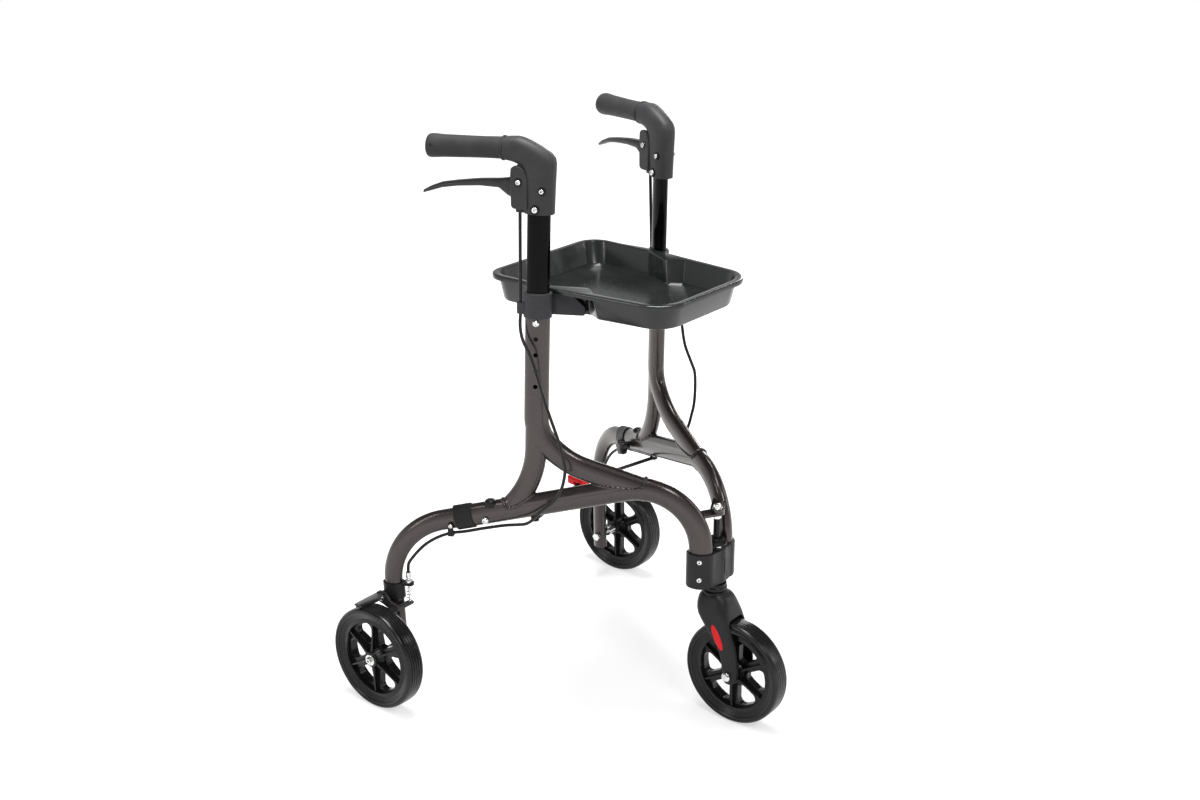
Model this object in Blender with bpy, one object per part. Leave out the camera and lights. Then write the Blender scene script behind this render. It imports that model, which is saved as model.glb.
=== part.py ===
"""Indoor rollator: two oval-tube side frames on a central front caster, with a tray and two brakes.

Shapes are drawn in millimetres and become metres in mesh_of. While it is drawn, the model has the
front wheel's stem on X = 0, Y = 0, the floor at Z = 0 and its front towards -Y. A side is drawn in
its own plane as (lateral, rearward, up), and side is +1 for the left and -1 for the right.
"""

import math

import bmesh
import bpy
import numpy as np
from mathutils import Matrix, Vector

MM = 0.001
GAP = 0.3
BEND_STEP = 18.0
OVAL_SIDES = 12
SOFT_SIDES = 12
SCREW_SIDES = 10

# Where each side frame stands.
SIDE_ANGLE = math.radians(28.43)
SIDE_OFFSET = 34.0
SIDE_SETBACK = 12.43

# Beam, from the foot of its front stub over the front bend to its rear end.
BEAM_HALF = (18.5, 12.0)
STUB_S = -5.7
STUB_FOOT_Z = 231.0
FRONT_BEND_Z = 289.5
FRONT_BEND_RADIUS = 95.0
BEAM_SLOPE = 14.2
BEAM_END_S = 364.0
BEAM_WALL = 1.3
PLUG_LENGTH = 45.0

# Upright, the front stay that goes on from it, and the rear stay.
UPRIGHT_HALF = (19.0, 12.0)
UPRIGHT_TOP = (243.3, 684.0)
UPRIGHT_LEAN = 1.5
UPRIGHT_LENGTH = 192.5
UPRIGHT_WALL = 1.3
UPRIGHT_BORE_FOOT = 490.0
FRONT_STAY_HALF = (18.6, 11.8)
REAR_STAY_HALF = (17.0, 11.4)
HOLE_RADIUS = 3.5
HOLE_TOP_Z = 644.0
HOLE_PITCH = 25.0
HOLE_COUNT = 5

# Rear leg and what holds it.
LEG_FOOT_HALF = (14.5, 11.0)
LEG_BEND_RADIUS = 112.0
LEG_AXLE_S = 479.9
LEG_TURN = 78.3
LEG_FOOT_LENGTH = 134.0
SLEEVE_WALL = 2.0
SLEEVE_REACH = (14.0, 15.0)
LEG_BOLT = (329.0, 319.0)

# Column, front brackets and the welded ears above them.
COLUMN_RADIUS = 13.0
COLUMN_FOOT_Z = 214.5
ROD_RADIUS = 5.5
BOLT_RADIUS = 4.0
HOLE_PLAY = 0.3
KNUCKLE_WALL = 3.4
BRACKET_Z = (228.0, 286.0)
KNUCKLE_HEIGHT = 15.0
EAR_Z = {-1: 342.0, 1: 346.5}
EAR_THICK = 4.0
EAR_HALF_WIDTH = 11.0

# Wheels.
WHEEL_RADIUS = 85.0
SEAT_RADIUS = 75.0
TYRE_HALF_WIDTH = 16.6
WHEEL_STEPS = 24
REAR_WHEEL = (314.7, 430.0)
CASTER_TURN = math.radians(0.5)
CASTER_TRAIL = 43.5
SPOKES = 6
HUB_HALF = 18.0
WEB_HALF = 5.5

# Fork of the front wheel.
FORK_INSIDE = 20.5
FORK_OUTSIDE = 27.5
FORK_TOP_Z = 214.0
FORK_GAP_TOP_Z = 175.5
STEM_RADIUS = 8.0
STEM_FOOT_Z = 184.3
STEM_TOP_Z = 272.0
INLAY_CENTRE = (-23.6, 146.6)
INLAY_HALF = (21.6, 6.3)
INLAY_TURN = 63.7
INLAY_DEPTH = 1.5

# Clamp hooks and the tray that hangs on them.
CLAMP_Z = (651.0, 689.0)
CLAMP_HALF = (21.4, 15.2)
ARM_LATERAL = (-20.8, -16.4)
TRAY_RIM_TOP = 692.2
TRAY_FLOOR_Z = 650.0
TRAY_WALL = 3.0
RIM_THICK = 2.8

# Handles, drawn as (lateral, rearward, up) in a plane turned in from the side plane.
HANDLE_TOE = math.radians(8.5)
HANDLE_S = 239.5
HOUSING_FOOT_Z = 808.0
HOUSING_U = 0.0
ELBOW_RADIUS = 30.0
GRIP_START = (50.0, 900.0)
GRIP_END = (170.0, 896.0)
CORE_END = 156.0
GRIP_RADIUS = 16.5
CORE_RADIUS = 11.0
LEVER_PIVOT = (26.0, 854.6)
LEVER_PIN_RADIUS = 2.6
LUG_INSIDE = 10.0
LUG_OUTSIDE = 14.0

# Brakes.
BRAKE_PIVOT = (448.0, 171.0)
BRAKE_PLATE_X = (279.8, 283.8)
SHOE_GAP = 1.6
SHOE_THICK = 7.0
SHOE_ARC = (6.5, 21.5)
SHOE_HALF_WIDTH = 14.8
BRAKE_TRAVEL = 4.5
WIRE_S = 460.2
BRACKET_BAND_Z = (169.0, 195.0)
SPRING_Z = (160.8, 190.6)
SPRING_RADIUS = 3.6
SPRING_WIRE = 0.65
SPRING_CURLS = 5
ADJUSTER_TOP_Z = 213.0
CABLE_RADIUS = 2.5
CABLE_CLIP = (270.0, 655.0, 672.0)

# Fold brace under the beams.
BRACE_S = 252.6
BRACE_THICK = 3.0
BRACE_Z = {-1: 313.0, 1: 313.0 + BRACE_THICK + GAP}
BRACE_HALF_WIDTH = 6.0


def mesh_of(points, faces):
    """A closed mesh in metres with its faces turned outwards."""
    mesh = bpy.data.meshes.new("shape")
    mesh.from_pydata((np.asarray(points) * MM).tolist(), [], faces)
    outward(mesh)
    return mesh


def outward(mesh):
    shape = bmesh.new()
    shape.from_mesh(mesh)
    bmesh.ops.recalc_face_normals(shape, faces=shape.faces)
    shape.to_mesh(mesh)
    shape.free()


def loft(loops, ring=False):
    """Walls between loops of equal length. A ring joins its last loop to its first, else both are capped."""
    loops = [np.asarray(loop, float) for loop in loops]
    count = len(loops[0])
    faces = []
    for i in range(len(loops) if ring else len(loops) - 1):
        near = i * count
        far = (i + 1) % len(loops) * count
        for j in range(count):
            k = (j + 1) % count
            faces.append((near + j, near + k, far + k, far + j))
    if not ring:
        faces.append(tuple(range(count)))
        faces.append(tuple(range((len(loops) - 1) * count, len(loops) * count)))
    return mesh_of(np.concatenate(loops), faces)


def moved(mesh, matrix):
    """The mesh placed by a matrix whose shift is in millimetres."""
    placed = mesh.copy()
    matrix = matrix.copy()
    matrix.translation = matrix.translation * MM
    placed.transform(matrix)
    if matrix.determinant() < 0:
        placed.flip_normals()
    return placed


def boolean(operation, base, tools):
    """The base joined with, or cut by, each tool in turn."""
    scene = bpy.context.scene.collection
    carrier = bpy.data.objects.new("carrier", base)
    helpers = [carrier]
    scene.objects.link(carrier)
    for tool in tools:
        helper = bpy.data.objects.new("helper", tool)
        scene.objects.link(helper)
        helpers.append(helper)
        step = carrier.modifiers.new("step", "BOOLEAN")
        step.operation = operation
        step.solver = "EXACT"
        step.object = helper
    graph = bpy.context.evaluated_depsgraph_get()
    result = bpy.data.meshes.new_from_object(carrier.evaluated_get(graph))
    for helper in helpers:
        bpy.data.objects.remove(helper, do_unlink=True)
    return result


def joined(base, *tools):
    return boolean("UNION", base, tools)


def cut(base, *tools):
    return boolean("DIFFERENCE", base, tools)


def oval(half_a, half_b, count=OVAL_SIDES):
    turns = np.arange(count) * 2 * math.pi / count
    return np.stack([half_a * np.cos(turns), half_b * np.sin(turns)], axis=1)


def circle(radius, count):
    return oval(radius, radius, count)


def lathe(profile, steps, axis="Z", centre=(0.0, 0.0, 0.0), ring=False):
    """Turns (radius, height) points round an axis. A ring profile is closed and leaves a bore."""
    loops = []
    for radius, height in profile:
        turn = circle(radius, steps)
        level = np.full(len(turn), height)
        if axis == "Z":
            loop = np.stack([turn[:, 0], turn[:, 1], level], axis=1)
        else:
            loop = np.stack([level, turn[:, 0], turn[:, 1]], axis=1)
        loops.append(loop + np.array(centre))
    return loft(loops, ring)


def rod(radius, start, end, steps=10):
    """A round bar between two points."""
    start = np.array(start, float)
    end = np.array(end, float)
    along = Vector(end - start).normalized()
    across = along.orthogonal().normalized()
    other = along.cross(across)
    turn = circle(radius, steps)
    offsets = turn[:, :1] * np.array(across) + turn[:, 1:] * np.array(other)
    return loft([start + offsets, end + offsets])


def box(low, high):
    plan = np.array([(low[0], low[1]), (high[0], low[1]), (high[0], high[1]), (low[0], high[1])])
    return loft([np.column_stack([plan, np.full(4, level)]) for level in (low[2], high[2])])


def signed_area(corners):
    """The outline's area, below zero when it runs clockwise."""
    total = 0.0
    for i, (x, y, _) in enumerate(corners):
        before = corners[i - 1]
        total += before[0] * y - x * before[1]
    return total / 2


def rounded(corners, inset=0.0, steps=2):
    """A closed outline (x, y, radius) with round corners, moved inwards by the inset."""
    inwards = math.copysign(inset, signed_area(corners))
    points = []
    for i, (x, y, radius) in enumerate(corners):
        here = np.array([x, y])
        before = here - np.array(corners[i - 1][:2])
        after = np.array(corners[(i + 1) % len(corners)][:2]) - here
        before = before / np.linalg.norm(before)
        after = after / np.linalg.norm(after)
        turn = math.atan2(before[0] * after[1] - before[1] * after[0], before @ after)
        side = 1.0 if turn > 0 else -1.0
        bisector = (after - before) / np.linalg.norm(after - before)
        centre = here + bisector * radius / math.cos(turn / 2)
        reach = side * (radius - side * inwards)
        start = math.atan2(-before[0], before[1])
        for k in range(steps + 1):
            angle = start + turn * k / steps
            points.append(centre + reach * np.array([math.cos(angle), math.sin(angle)]))
    return np.array(points)


def slab(corners, low, high, axis="Z", edge=0.0, steps=2):
    """A rounded outline made thick along an axis, with its edges broken by edge millimetres."""
    levels = [(low, 0.0), (high, 0.0)]
    if edge:
        levels = [(low, edge), (low + edge, 0.0), (high - edge, 0.0), (high, edge)]
    loops = []
    for level, inset in levels:
        plan = rounded(corners, inset, steps)
        depth = np.full(len(plan), level)
        columns = [plan[:, 0], plan[:, 1]]
        columns.insert("XYZ".index(axis), depth)
        loops.append(np.column_stack(columns))
    return loft(loops)


def route(start, heading, steps):
    """Stations (s, z, heading) along straight runs (length,) and bends (radius, degrees)."""
    s, z = start
    angle = math.radians(heading)
    stations = [(s, z, angle)]
    for step in steps:
        pieces = 1
        turn = 0.0
        length = step[0]
        if len(step) == 2:
            pieces = max(2, round(abs(step[1]) / BEND_STEP))
            turn = math.radians(step[1]) / pieces
            length = 2 * step[0] * math.sin(abs(turn) / 2)
        for _ in range(pieces):
            s += length * math.cos(angle + turn / 2)
            z += length * math.sin(angle + turn / 2)
            angle += turn
            stations.append((s, z, angle))
    return stations


def across(station, section):
    """The section (in plane, lateral) standing square to the route at a station."""
    s, z, heading = station
    in_plane = section[:, 0]
    return np.stack(
        [
            section[:, 1],
            s - in_plane * math.sin(heading),
            z + in_plane * math.cos(heading),
        ],
        axis=1,
    )


def tube(stations, halves, count=OVAL_SIDES):
    """An oval bar along a route. Its half-sizes go evenly from the first pair to the last."""
    first = np.array(halves[0])
    last = np.array(halves[-1])
    loops = []
    for i, station in enumerate(stations):
        share = i / (len(stations) - 1)
        size = first + (last - first) * share
        loops.append(across(station, oval(size[0], size[1], count)))
    return loft(loops)


def grown(half, more):
    return (half[0] + more, half[1] + more)


def side_matrix(side):
    """From (lateral, rearward, up) in a side plane to the drawing frame."""
    sine = math.sin(SIDE_ANGLE)
    cosine = math.cos(SIDE_ANGLE)
    return Matrix(
        (
            (side * cosine, side * sine, 0.0, side * SIDE_OFFSET),
            (-sine, cosine, 0.0, SIDE_SETBACK),
            (0.0, 0.0, 1.0, 0.0),
            (0.0, 0.0, 0.0, 1.0),
        )
    )


def handle_matrix(side):
    """From (lateral, rearward, up) in a handle's plane to the drawing frame."""
    turn = Matrix.Rotation(HANDLE_TOE, 4, "Z")
    turn.translation = Vector((0.0, HANDLE_S, 0.0))
    return side_matrix(side) @ turn


def mirror_matrix(side):
    return Matrix.Diagonal((side, 1.0, 1.0, 1.0))


def side_point(side, lateral, s, z):
    return side_matrix(side) @ Vector((lateral, s, z))


def smooth_route(knots, spacing):
    """Points at an even spacing on the smooth curve through the knots."""
    knots = np.array(knots, float)
    ends = np.vstack([2 * knots[0] - knots[1], knots, 2 * knots[-1] - knots[-2]])
    fine = []
    for i in range(1, len(ends) - 2):
        a, b, c, d = ends[i - 1 : i + 3]
        for t in np.linspace(0, 1, 24, endpoint=False):
            fine.append(
                0.5
                * (
                    2 * b
                    + (c - a) * t
                    + (2 * a - 5 * b + 4 * c - d) * t**2
                    + (3 * b - 3 * c + d - a) * t**3
                )
            )
    fine = np.array(fine + [knots[-1]])
    length = np.concatenate([[0], np.cumsum(np.linalg.norm(np.diff(fine, axis=0), axis=1))])
    wanted = np.linspace(0, length[-1], max(2, round(length[-1] / spacing) + 1))
    return np.column_stack([np.interp(wanted, length, fine[:, k]) for k in range(3)])


# The scene's frame: one empty holds the model, and one empty stands on each joint's axis.

carrier_points = {}


def material(name, colour, metallic, roughness):
    made = bpy.data.materials.new(name)
    made.use_nodes = True
    shader = made.node_tree.nodes["Principled BSDF"]
    shader.inputs["Base Color"].default_value = (*colour, 1.0)
    shader.inputs["Metallic"].default_value = metallic
    shader.inputs["Roughness"].default_value = roughness
    made.diffuse_color = (*colour, 1.0)
    return made


def carrier(name, point, parent=None):
    """An empty on a joint's axis, at a point in the drawing frame."""
    empty = bpy.data.objects.new(name, None)
    empty.empty_display_size = 0.03
    bpy.context.scene.collection.objects.link(empty)
    carrier_points[name] = Vector(point)
    offset = Vector(point)
    if parent:
        empty.parent = parent
        offset = offset - carrier_points[parent.name]
    empty.location = offset * MM
    return empty


def hang(obj, surface, holder):
    """Puts the object under its carrier and gives it its own material."""
    bpy.context.scene.collection.objects.link(obj)
    obj.parent = holder
    name, colour, metallic, roughness = surface
    obj.data.materials.clear()
    obj.data.materials.append(material(f"{name}_{obj.name}", colour, metallic, roughness))
    return obj


def node(name, mesh, surface, holder):
    """Adds a mesh drawn in the drawing frame as a named piece."""
    mesh.name = name
    mesh.transform(Matrix.Translation(-carrier_points[holder.name] * MM))
    mesh.shade_smooth()
    mesh.set_sharp_from_angle(angle=math.radians(32))
    return hang(bpy.data.objects.new(name, mesh), surface, holder)


def cord(name, points, radius, resolution, surface, holder):
    """Adds a round cord through points in the drawing frame as a named piece."""
    curve = bpy.data.curves.new(name, "CURVE")
    curve.dimensions = "3D"
    curve.bevel_depth = radius * MM
    curve.bevel_resolution = resolution
    curve.use_fill_caps = True
    spline = curve.splines.new("POLY")
    spline.points.add(len(points) - 1)
    start = np.array(carrier_points[holder.name])
    for knot, point in zip(spline.points, np.array(points)):
        knot.co = (*((point - start) * MM), 1.0)
        knot.radius = 1.0
    return hang(bpy.data.objects.new(name, curve), surface, holder)


PAINT = ("frame_paint", (0.10, 0.075, 0.068), 0.75, 0.32)
BLACK_TUBE = ("black_tube", (0.012, 0.012, 0.013), 0.3, 0.18)
CLAMP_GREY = ("clamp_grey", (0.07, 0.07, 0.078), 0.0, 0.45)
BLACK_PLASTIC = ("black_plastic", (0.018, 0.018, 0.02), 0.0, 0.5)
WHEEL_BLACK = ("wheel_black", (0.02, 0.02, 0.022), 0.0, 0.55)
TYRE_BLACK = ("tyre_rubber", (0.016, 0.016, 0.017), 0.0, 0.75)
GRIP_RUBBER = ("grip_rubber", (0.025, 0.025, 0.027), 0.0, 0.7)
TRAY_GREY = ("tray_grey", (0.045, 0.048, 0.05), 0.0, 0.5)
ZINC = ("zinc", (0.72, 0.70, 0.62), 1.0, 0.3)
DARK_STEEL = ("dark_steel", (0.05, 0.05, 0.055), 0.6, 0.4)
RED = ("red_plastic", (0.75, 0.012, 0.018), 0.0, 0.35)
CABLE_BLACK = ("cable_black", (0.01, 0.01, 0.01), 0.0, 0.4)

# Routes of the welded frame.


def beam_route():
    slope = math.radians(BEAM_SLOPE)
    bend_end = STUB_S + FRONT_BEND_RADIUS * (1 + math.sin(slope))
    run = (BEAM_END_S - bend_end) / math.cos(slope)
    steps = [(FRONT_BEND_Z - STUB_FOOT_Z,), (FRONT_BEND_RADIUS, -90.0 - BEAM_SLOPE), (run,)]
    return route((STUB_S, STUB_FOOT_Z), 90.0, steps)


def beam_centre_z(s):
    end = beam_route()[-1]
    return end[1] + (end[0] - s) * math.tan(math.radians(BEAM_SLOPE))


def leg_straight():
    """The straight run behind the beam that brings the leg's foot to the axle after its bend."""
    slope = math.radians(BEAM_SLOPE)
    foot_heading = slope + math.radians(LEG_TURN)
    reach = LEG_BEND_RADIUS * (math.sin(foot_heading) - math.sin(slope))
    drop = LEG_BEND_RADIUS * (math.cos(slope) - math.cos(foot_heading))
    lean = -1 / math.tan(foot_heading)
    height = beam_centre_z(BEAM_END_S) - drop - WHEEL_RADIUS
    return (LEG_AXLE_S - BEAM_END_S - reach + height * lean) / (1 + lean * math.tan(slope))


def leg_route():
    start_s = BEAM_END_S - PLUG_LENGTH
    run = (PLUG_LENGTH + leg_straight()) / math.cos(math.radians(BEAM_SLOPE))
    steps = [(run,), (LEG_BEND_RADIUS, -LEG_TURN), (LEG_FOOT_LENGTH,)]
    return route((start_s, beam_centre_z(start_s)), -BEAM_SLOPE, steps)


def leg_centre_s(z):
    """Where the straight foot of the leg stands at a height."""
    knee, foot = leg_route()[-2:]
    share = (knee[1] - z) / (knee[1] - foot[1])
    return knee[0] + (foot[0] - knee[0]) * share


def upright_route(low, high):
    """The upright's straight axis between two heights, drawn upwards."""
    lean = math.radians(UPRIGHT_LEAN)
    stations = []
    for z in (low, high):
        stations.append((upright_s(z), z, math.pi / 2 + lean))
    return stations


def upright_s(z):
    return UPRIGHT_TOP[0] + (UPRIGHT_TOP[1] - z) * math.tan(math.radians(UPRIGHT_LEAN))


def rear_stay_route():
    """Down the upright's line, then back and down to the middle of the beam."""
    start = (upright_s(505.0), 505.0)
    steps = [(65.0,), (150.0, 38.0)]
    s, z, heading = route(start, UPRIGHT_LEAN - 90.0, steps)[-1]
    closing = -math.sin(heading) - math.cos(heading) * math.tan(math.radians(BEAM_SLOPE))
    last = (z - beam_centre_z(s)) / closing
    return route(start, UPRIGHT_LEAN - 90.0, [*steps, (last,)])


def hole_heights():
    return [HOLE_TOP_Z - HOLE_PITCH * i for i in range(HOLE_COUNT)]


def side_frame(side):
    """The beam, upright, stays and ear, welded into one and bored for what plugs into them."""
    beam = tube(beam_route(), [BEAM_HALF])
    front_steps = [(UPRIGHT_LENGTH,), (60.0, -41.5), (130.0, -37.0), (106.0,)]
    front = tube(route(UPRIGHT_TOP, UPRIGHT_LEAN - 90.0, front_steps), [UPRIGHT_HALF, FRONT_STAY_HALF])
    rear = tube(rear_stay_route(), [REAR_STAY_HALF])
    body = moved(joined(beam, front, rear), side_matrix(side))
    ear_end = side_point(side, 0.0, 11.0, 0.0)
    body = joined(body, ear_plate(ear_end, EAR_Z[side]))
    matrix = side_matrix(side)
    leg_bore = route(
        (BEAM_END_S + 5.0, beam_centre_z(BEAM_END_S + 5.0)),
        180.0 - BEAM_SLOPE,
        [((PLUG_LENGTH + 7.0) / math.cos(math.radians(BEAM_SLOPE)),)],
    )
    cutters = [
        moved(tube(leg_bore, [grown(BEAM_HALF, -BEAM_WALL)], OVAL_SIDES), matrix),
        moved(tube(upright_route(UPRIGHT_BORE_FOOT, 700.0), [grown(UPRIGHT_HALF, -UPRIGHT_WALL)]), matrix),
        moved(rod(HOLE_RADIUS, (3.0, *LEG_BOLT), (16.0, *LEG_BOLT)), matrix),
        rod(BOLT_RADIUS + HOLE_PLAY, (0.0, 0.0, 330.0), (0.0, 0.0, 360.0)),
        moved(rod(HOLE_RADIUS, (0.0, BRACE_S, 300.0), (0.0, BRACE_S, 338.0)), matrix),
    ]
    for z in hole_heights():
        start = (4.0, upright_s(z), z)
        cutters.append(moved(rod(HOLE_RADIUS, start, (16.0, start[1], z), 8), matrix))
    return cut(body, *cutters)


def ear_plate(end, low):
    """A round-ended plate from the hinge bolt to a beam."""
    along = Vector((end[0], end[1])).normalized()
    normal = Vector((-along[1], along[0]))
    plan = []
    for k in range(9):
        angle = math.pi / 2 + math.pi * k / 8
        reach = along * math.cos(angle) + normal * math.sin(angle)
        plan.append(reach * EAR_HALF_WIDTH)
    for offset in (-EAR_HALF_WIDTH + 1.0, EAR_HALF_WIDTH - 1.0):
        plan.append(Vector((end[0], end[1])) + normal * offset)
    plan = np.array([tuple(point) for point in plan])
    levels = (low, low + EAR_THICK)
    return loft([np.column_stack([plan, np.full(len(plan), level)]) for level in levels])


def rear_leg(side):
    """The bent leg, bored for its bolt and the wheel's axle."""
    stations = leg_route()
    plug = grown(BEAM_HALF, -BEAM_WALL - GAP)
    loops = []
    for i, station in enumerate(stations):
        share = min(1.0, max(0.0, (i - 1) / (len(stations) - 3)))
        size = np.array(plug) + (np.array(LEG_FOOT_HALF) - np.array(plug)) * share
        loops.append(across(station, oval(size[0], size[1], OVAL_SIDES)))
    leg = moved(loft(loops), side_matrix(side))
    axle_hole = rod(
        BOLT_RADIUS + HOLE_PLAY,
        (side * 230.0, REAR_WHEEL[1], WHEEL_RADIUS),
        (side * 290.0, REAR_WHEEL[1], WHEEL_RADIUS),
    )
    bolt_hole = moved(rod(HOLE_RADIUS, (-4.0, *LEG_BOLT), (16.0, *LEG_BOLT)), side_matrix(side))
    return cut(leg, axle_hole, bolt_hole)


def leg_sleeve(side):
    """The collar where the leg leaves the beam, stepped inside over the beam's end."""
    low = BEAM_END_S - SLEEVE_REACH[0]
    high = BEAM_END_S + SLEEVE_REACH[1]
    step = BEAM_END_S + GAP
    outer = grown(BEAM_HALF, SLEEVE_WALL)
    over_beam = grown(BEAM_HALF, GAP)
    over_leg = grown(BEAM_HALF, -BEAM_WALL)
    profile = [
        (low, outer),
        (high - 1.0, outer),
        (high, grown(outer, -1.0)),
        (high, over_leg),
        (step, over_leg),
        (step, over_beam),
        (low, over_beam),
    ]
    loops = []
    for s, half in profile:
        station = (s, beam_centre_z(s), -math.radians(BEAM_SLOPE))
        loops.append(across(station, oval(half[0], half[1], OVAL_SIDES)))
    return moved(loft(loops, ring=True), side_matrix(side))


def cap_screw(side, foot, head_start, radius, head_radius, head_height):
    """A screw along the lateral direction of a side, its domed head outermost."""
    lateral, s, z = foot
    profile = [
        (radius, lateral),
        (radius, head_start),
        (head_radius, head_start),
        (head_radius, head_start + head_height * 0.55),
        (head_radius * 0.72, head_start + head_height),
    ]
    return moved(lathe(profile, SCREW_SIDES, "X", (0.0, s, z)), side_matrix(side))


def hexagon(flats, low, high, centre=(0.0, 0.0)):
    radius = flats / math.sqrt(3)
    plan = circle(radius, 6) + np.array(centre)
    return loft([np.column_stack([plan, np.full(6, level)]) for level in (low, high)])


def column_tube():
    profile = [
        (STEM_RADIUS + HOLE_PLAY, STEM_TOP_Z + 3.0),
        (STEM_RADIUS + HOLE_PLAY, COLUMN_FOOT_Z),
        (COLUMN_RADIUS - 0.8, COLUMN_FOOT_Z),
        (COLUMN_RADIUS, COLUMN_FOOT_Z + 0.8),
        (COLUMN_RADIUS, BRACKET_Z[1] + 0.5),
        (17.0, BRACKET_Z[1] + 0.5),
        (17.0, BRACKET_Z[1] + 3.0),
        (COLUMN_RADIUS, BRACKET_Z[1] + 3.0),
        (COLUMN_RADIUS, BRACKET_Z[1] + 7.0),
        (16.5, BRACKET_Z[1] + 7.0),
        (16.5, BRACKET_Z[1] + 10.0),
        (ROD_RADIUS + 5.0, BRACKET_Z[1] + 13.0),
        (ROD_RADIUS, BRACKET_Z[1] + 14.0),
        (ROD_RADIUS, 333.8),
        (BOLT_RADIUS + HOLE_PLAY, 333.8),
        (BOLT_RADIUS + HOLE_PLAY, 308.0),
    ]
    return lathe(profile, 14)


def hinge_bolt():
    """The bolt through both ears with its nut below them."""
    top = EAR_Z[1] + EAR_THICK + GAP
    shank = rod(BOLT_RADIUS, (0.0, 0.0, 309.0), (0.0, 0.0, top + 2.0))
    nut = hexagon(13.0, EAR_Z[-1] - GAP - 7.0, EAR_Z[-1] - GAP)
    washer = lathe([(8.5, top), (8.5, top + 1.5)], 12)
    head = hexagon(13.0, top + 1.2, top + 8.0)
    return joined(shank, nut, washer, head)


def front_bracket(side):
    """A moulded bracket: a cup for the beam's stub and a knuckle that turns round the column."""
    matrix = side_matrix(side)
    low, high = BRACKET_Z
    cup_half = grown(BEAM_HALF, GAP + KNUCKLE_WALL)
    knuckle_radius = COLUMN_RADIUS + HOLE_PLAY + KNUCKLE_WALL
    levels = [(low, 3.0), (low + 1.2, 1.0), (low + 3.5, 0.0), (high, 0.0)]
    cup_loops = []
    web_loops = []
    for z, inset in levels:
        cup = oval(cup_half[0] - inset, cup_half[1] - inset, 16)
        cup_loops.append(np.column_stack([cup[:, 1], STUB_S + cup[:, 0], np.full(16, z)]))
    cup = moved(loft(cup_loops), matrix)
    stub = side_point(side, 0.0, STUB_S, 0.0)
    along = np.array([stub[0], stub[1]]) / math.hypot(stub[0], stub[1])
    normal = np.array([-along[1], along[0]])
    ends = np.array([stub[0], stub[1]])
    for z, inset in levels:
        web = [
            normal * (knuckle_radius - 0.4 - inset),
            -normal * (knuckle_radius - 0.4 - inset),
            ends - normal * (18.6 - inset),
            ends + normal * (18.6 - inset),
        ]
        web_loops.append(np.column_stack([np.array(web), np.full(4, z)]))
    knuckle = lathe([(knuckle_radius - inset, z) for z, inset in levels], 20)
    body = joined(cup, loft(web_loops), knuckle)
    pocket = across((STUB_S, STUB_FOOT_Z - GAP, math.pi / 2), oval(*grown(BEAM_HALF, GAP)))
    pocket_top = across((STUB_S, high + 5.0, math.pi / 2), oval(*grown(BEAM_HALF, GAP)))
    lower_top = low + KNUCKLE_HEIGHT + 3.5
    upper_foot = high - KNUCKLE_HEIGHT
    other_radius = knuckle_radius + GAP
    if side < 0:
        half_shell = box((-1.0, -40.0, lower_top), (40.0, 40.0, high + 10.0))
        other_knuckle = lathe([(other_radius, upper_foot - GAP), (other_radius, high + 10.0)], 20)
    else:
        half_shell = box((-40.0, -40.0, low - 10.0), (1.0, 40.0, upper_foot))
        other_knuckle = lathe([(other_radius, low - 10.0), (other_radius, lower_top + GAP)], 20)
    bore = lathe([(COLUMN_RADIUS + HOLE_PLAY, low - 10.0), (COLUMN_RADIUS + HOLE_PLAY, high + 10.0)], 16)
    return cut(body, moved(loft([pocket, pocket_top]), matrix), half_shell, other_knuckle, bore)


def caster_matrix():
    return Matrix.Rotation(CASTER_TURN, 4, "Z")


def forward(fwd, z, radius):
    """A fork corner given forwards and up, as a corner in the (rearward, up) plane."""
    return (-fwd, z, radius)


def caster_fork():
    """A one-piece fork: its side view over the full width, tapered above and cut out for the wheel."""
    side_view = [
        forward(-17.0, 209.0, 4.0),
        forward(-23.5, 203.0, 8.0),
        forward(-22.0, 186.0, 16.0),
        forward(-6.0, 161.5, 40.0),
        forward(20.0, 131.0, 60.0),
        forward(31.5, 100.0, 40.0),
        forward(32.0, 76.0, 11.0),
        forward(58.5, 76.0, 11.0),
        forward(60.5, 97.0, 30.0),
        forward(54.0, 137.0, 80.0),
        forward(38.0, 178.0, 40.0),
        forward(33.5, 190.0, 12.0),
        forward(33.0, 209.0, 4.0),
    ]
    half = FORK_OUTSIDE
    front_view = [(half - 8.5, 213.0, 3.0), (half - 3.5, 205.0, 8.0), (half, 192.0, 8.0), (half, 60.0, 1.0)]
    front_view += [(-x, z, radius) for x, z, radius in reversed(front_view)]
    wheel_gap = [
        (-FORK_INSIDE, 50.0, 1.0),
        (FORK_INSIDE, 50.0, 1.0),
        (FORK_INSIDE, FORK_GAP_TOP_Z, 7.0),
        (-FORK_INSIDE, FORK_GAP_TOP_Z, 7.0),
    ]
    blades = slab(side_view, -half, half, "X", 1.5)
    blades = boolean("INTERSECT", blades, [slab(front_view, -90.0, 50.0, "Y")])
    disc = lathe([(19.5, 200.0), (19.5, FORK_TOP_Z - 1.2), (18.3, FORK_TOP_Z)], 18)
    body = joined(cut(blades, slab(wheel_gap, -90.0, 50.0, "Y")), disc)
    cutters = [
        rod(STEM_RADIUS + 0.2, (0.0, 0.0, STEM_FOOT_Z - GAP), (0.0, 0.0, 230.0), 16),
        rod(BOLT_RADIUS + 0.2, (-40.0, -CASTER_TRAIL, WHEEL_RADIUS), (40.0, -CASTER_TRAIL, WHEEL_RADIUS)),
    ]
    for face in (-1, 1):
        cutters.append(inlay_shape(face, GAP, FORK_OUTSIDE - INLAY_DEPTH, FORK_OUTSIDE + 5.0))
    return cut(body, *cutters)


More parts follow.
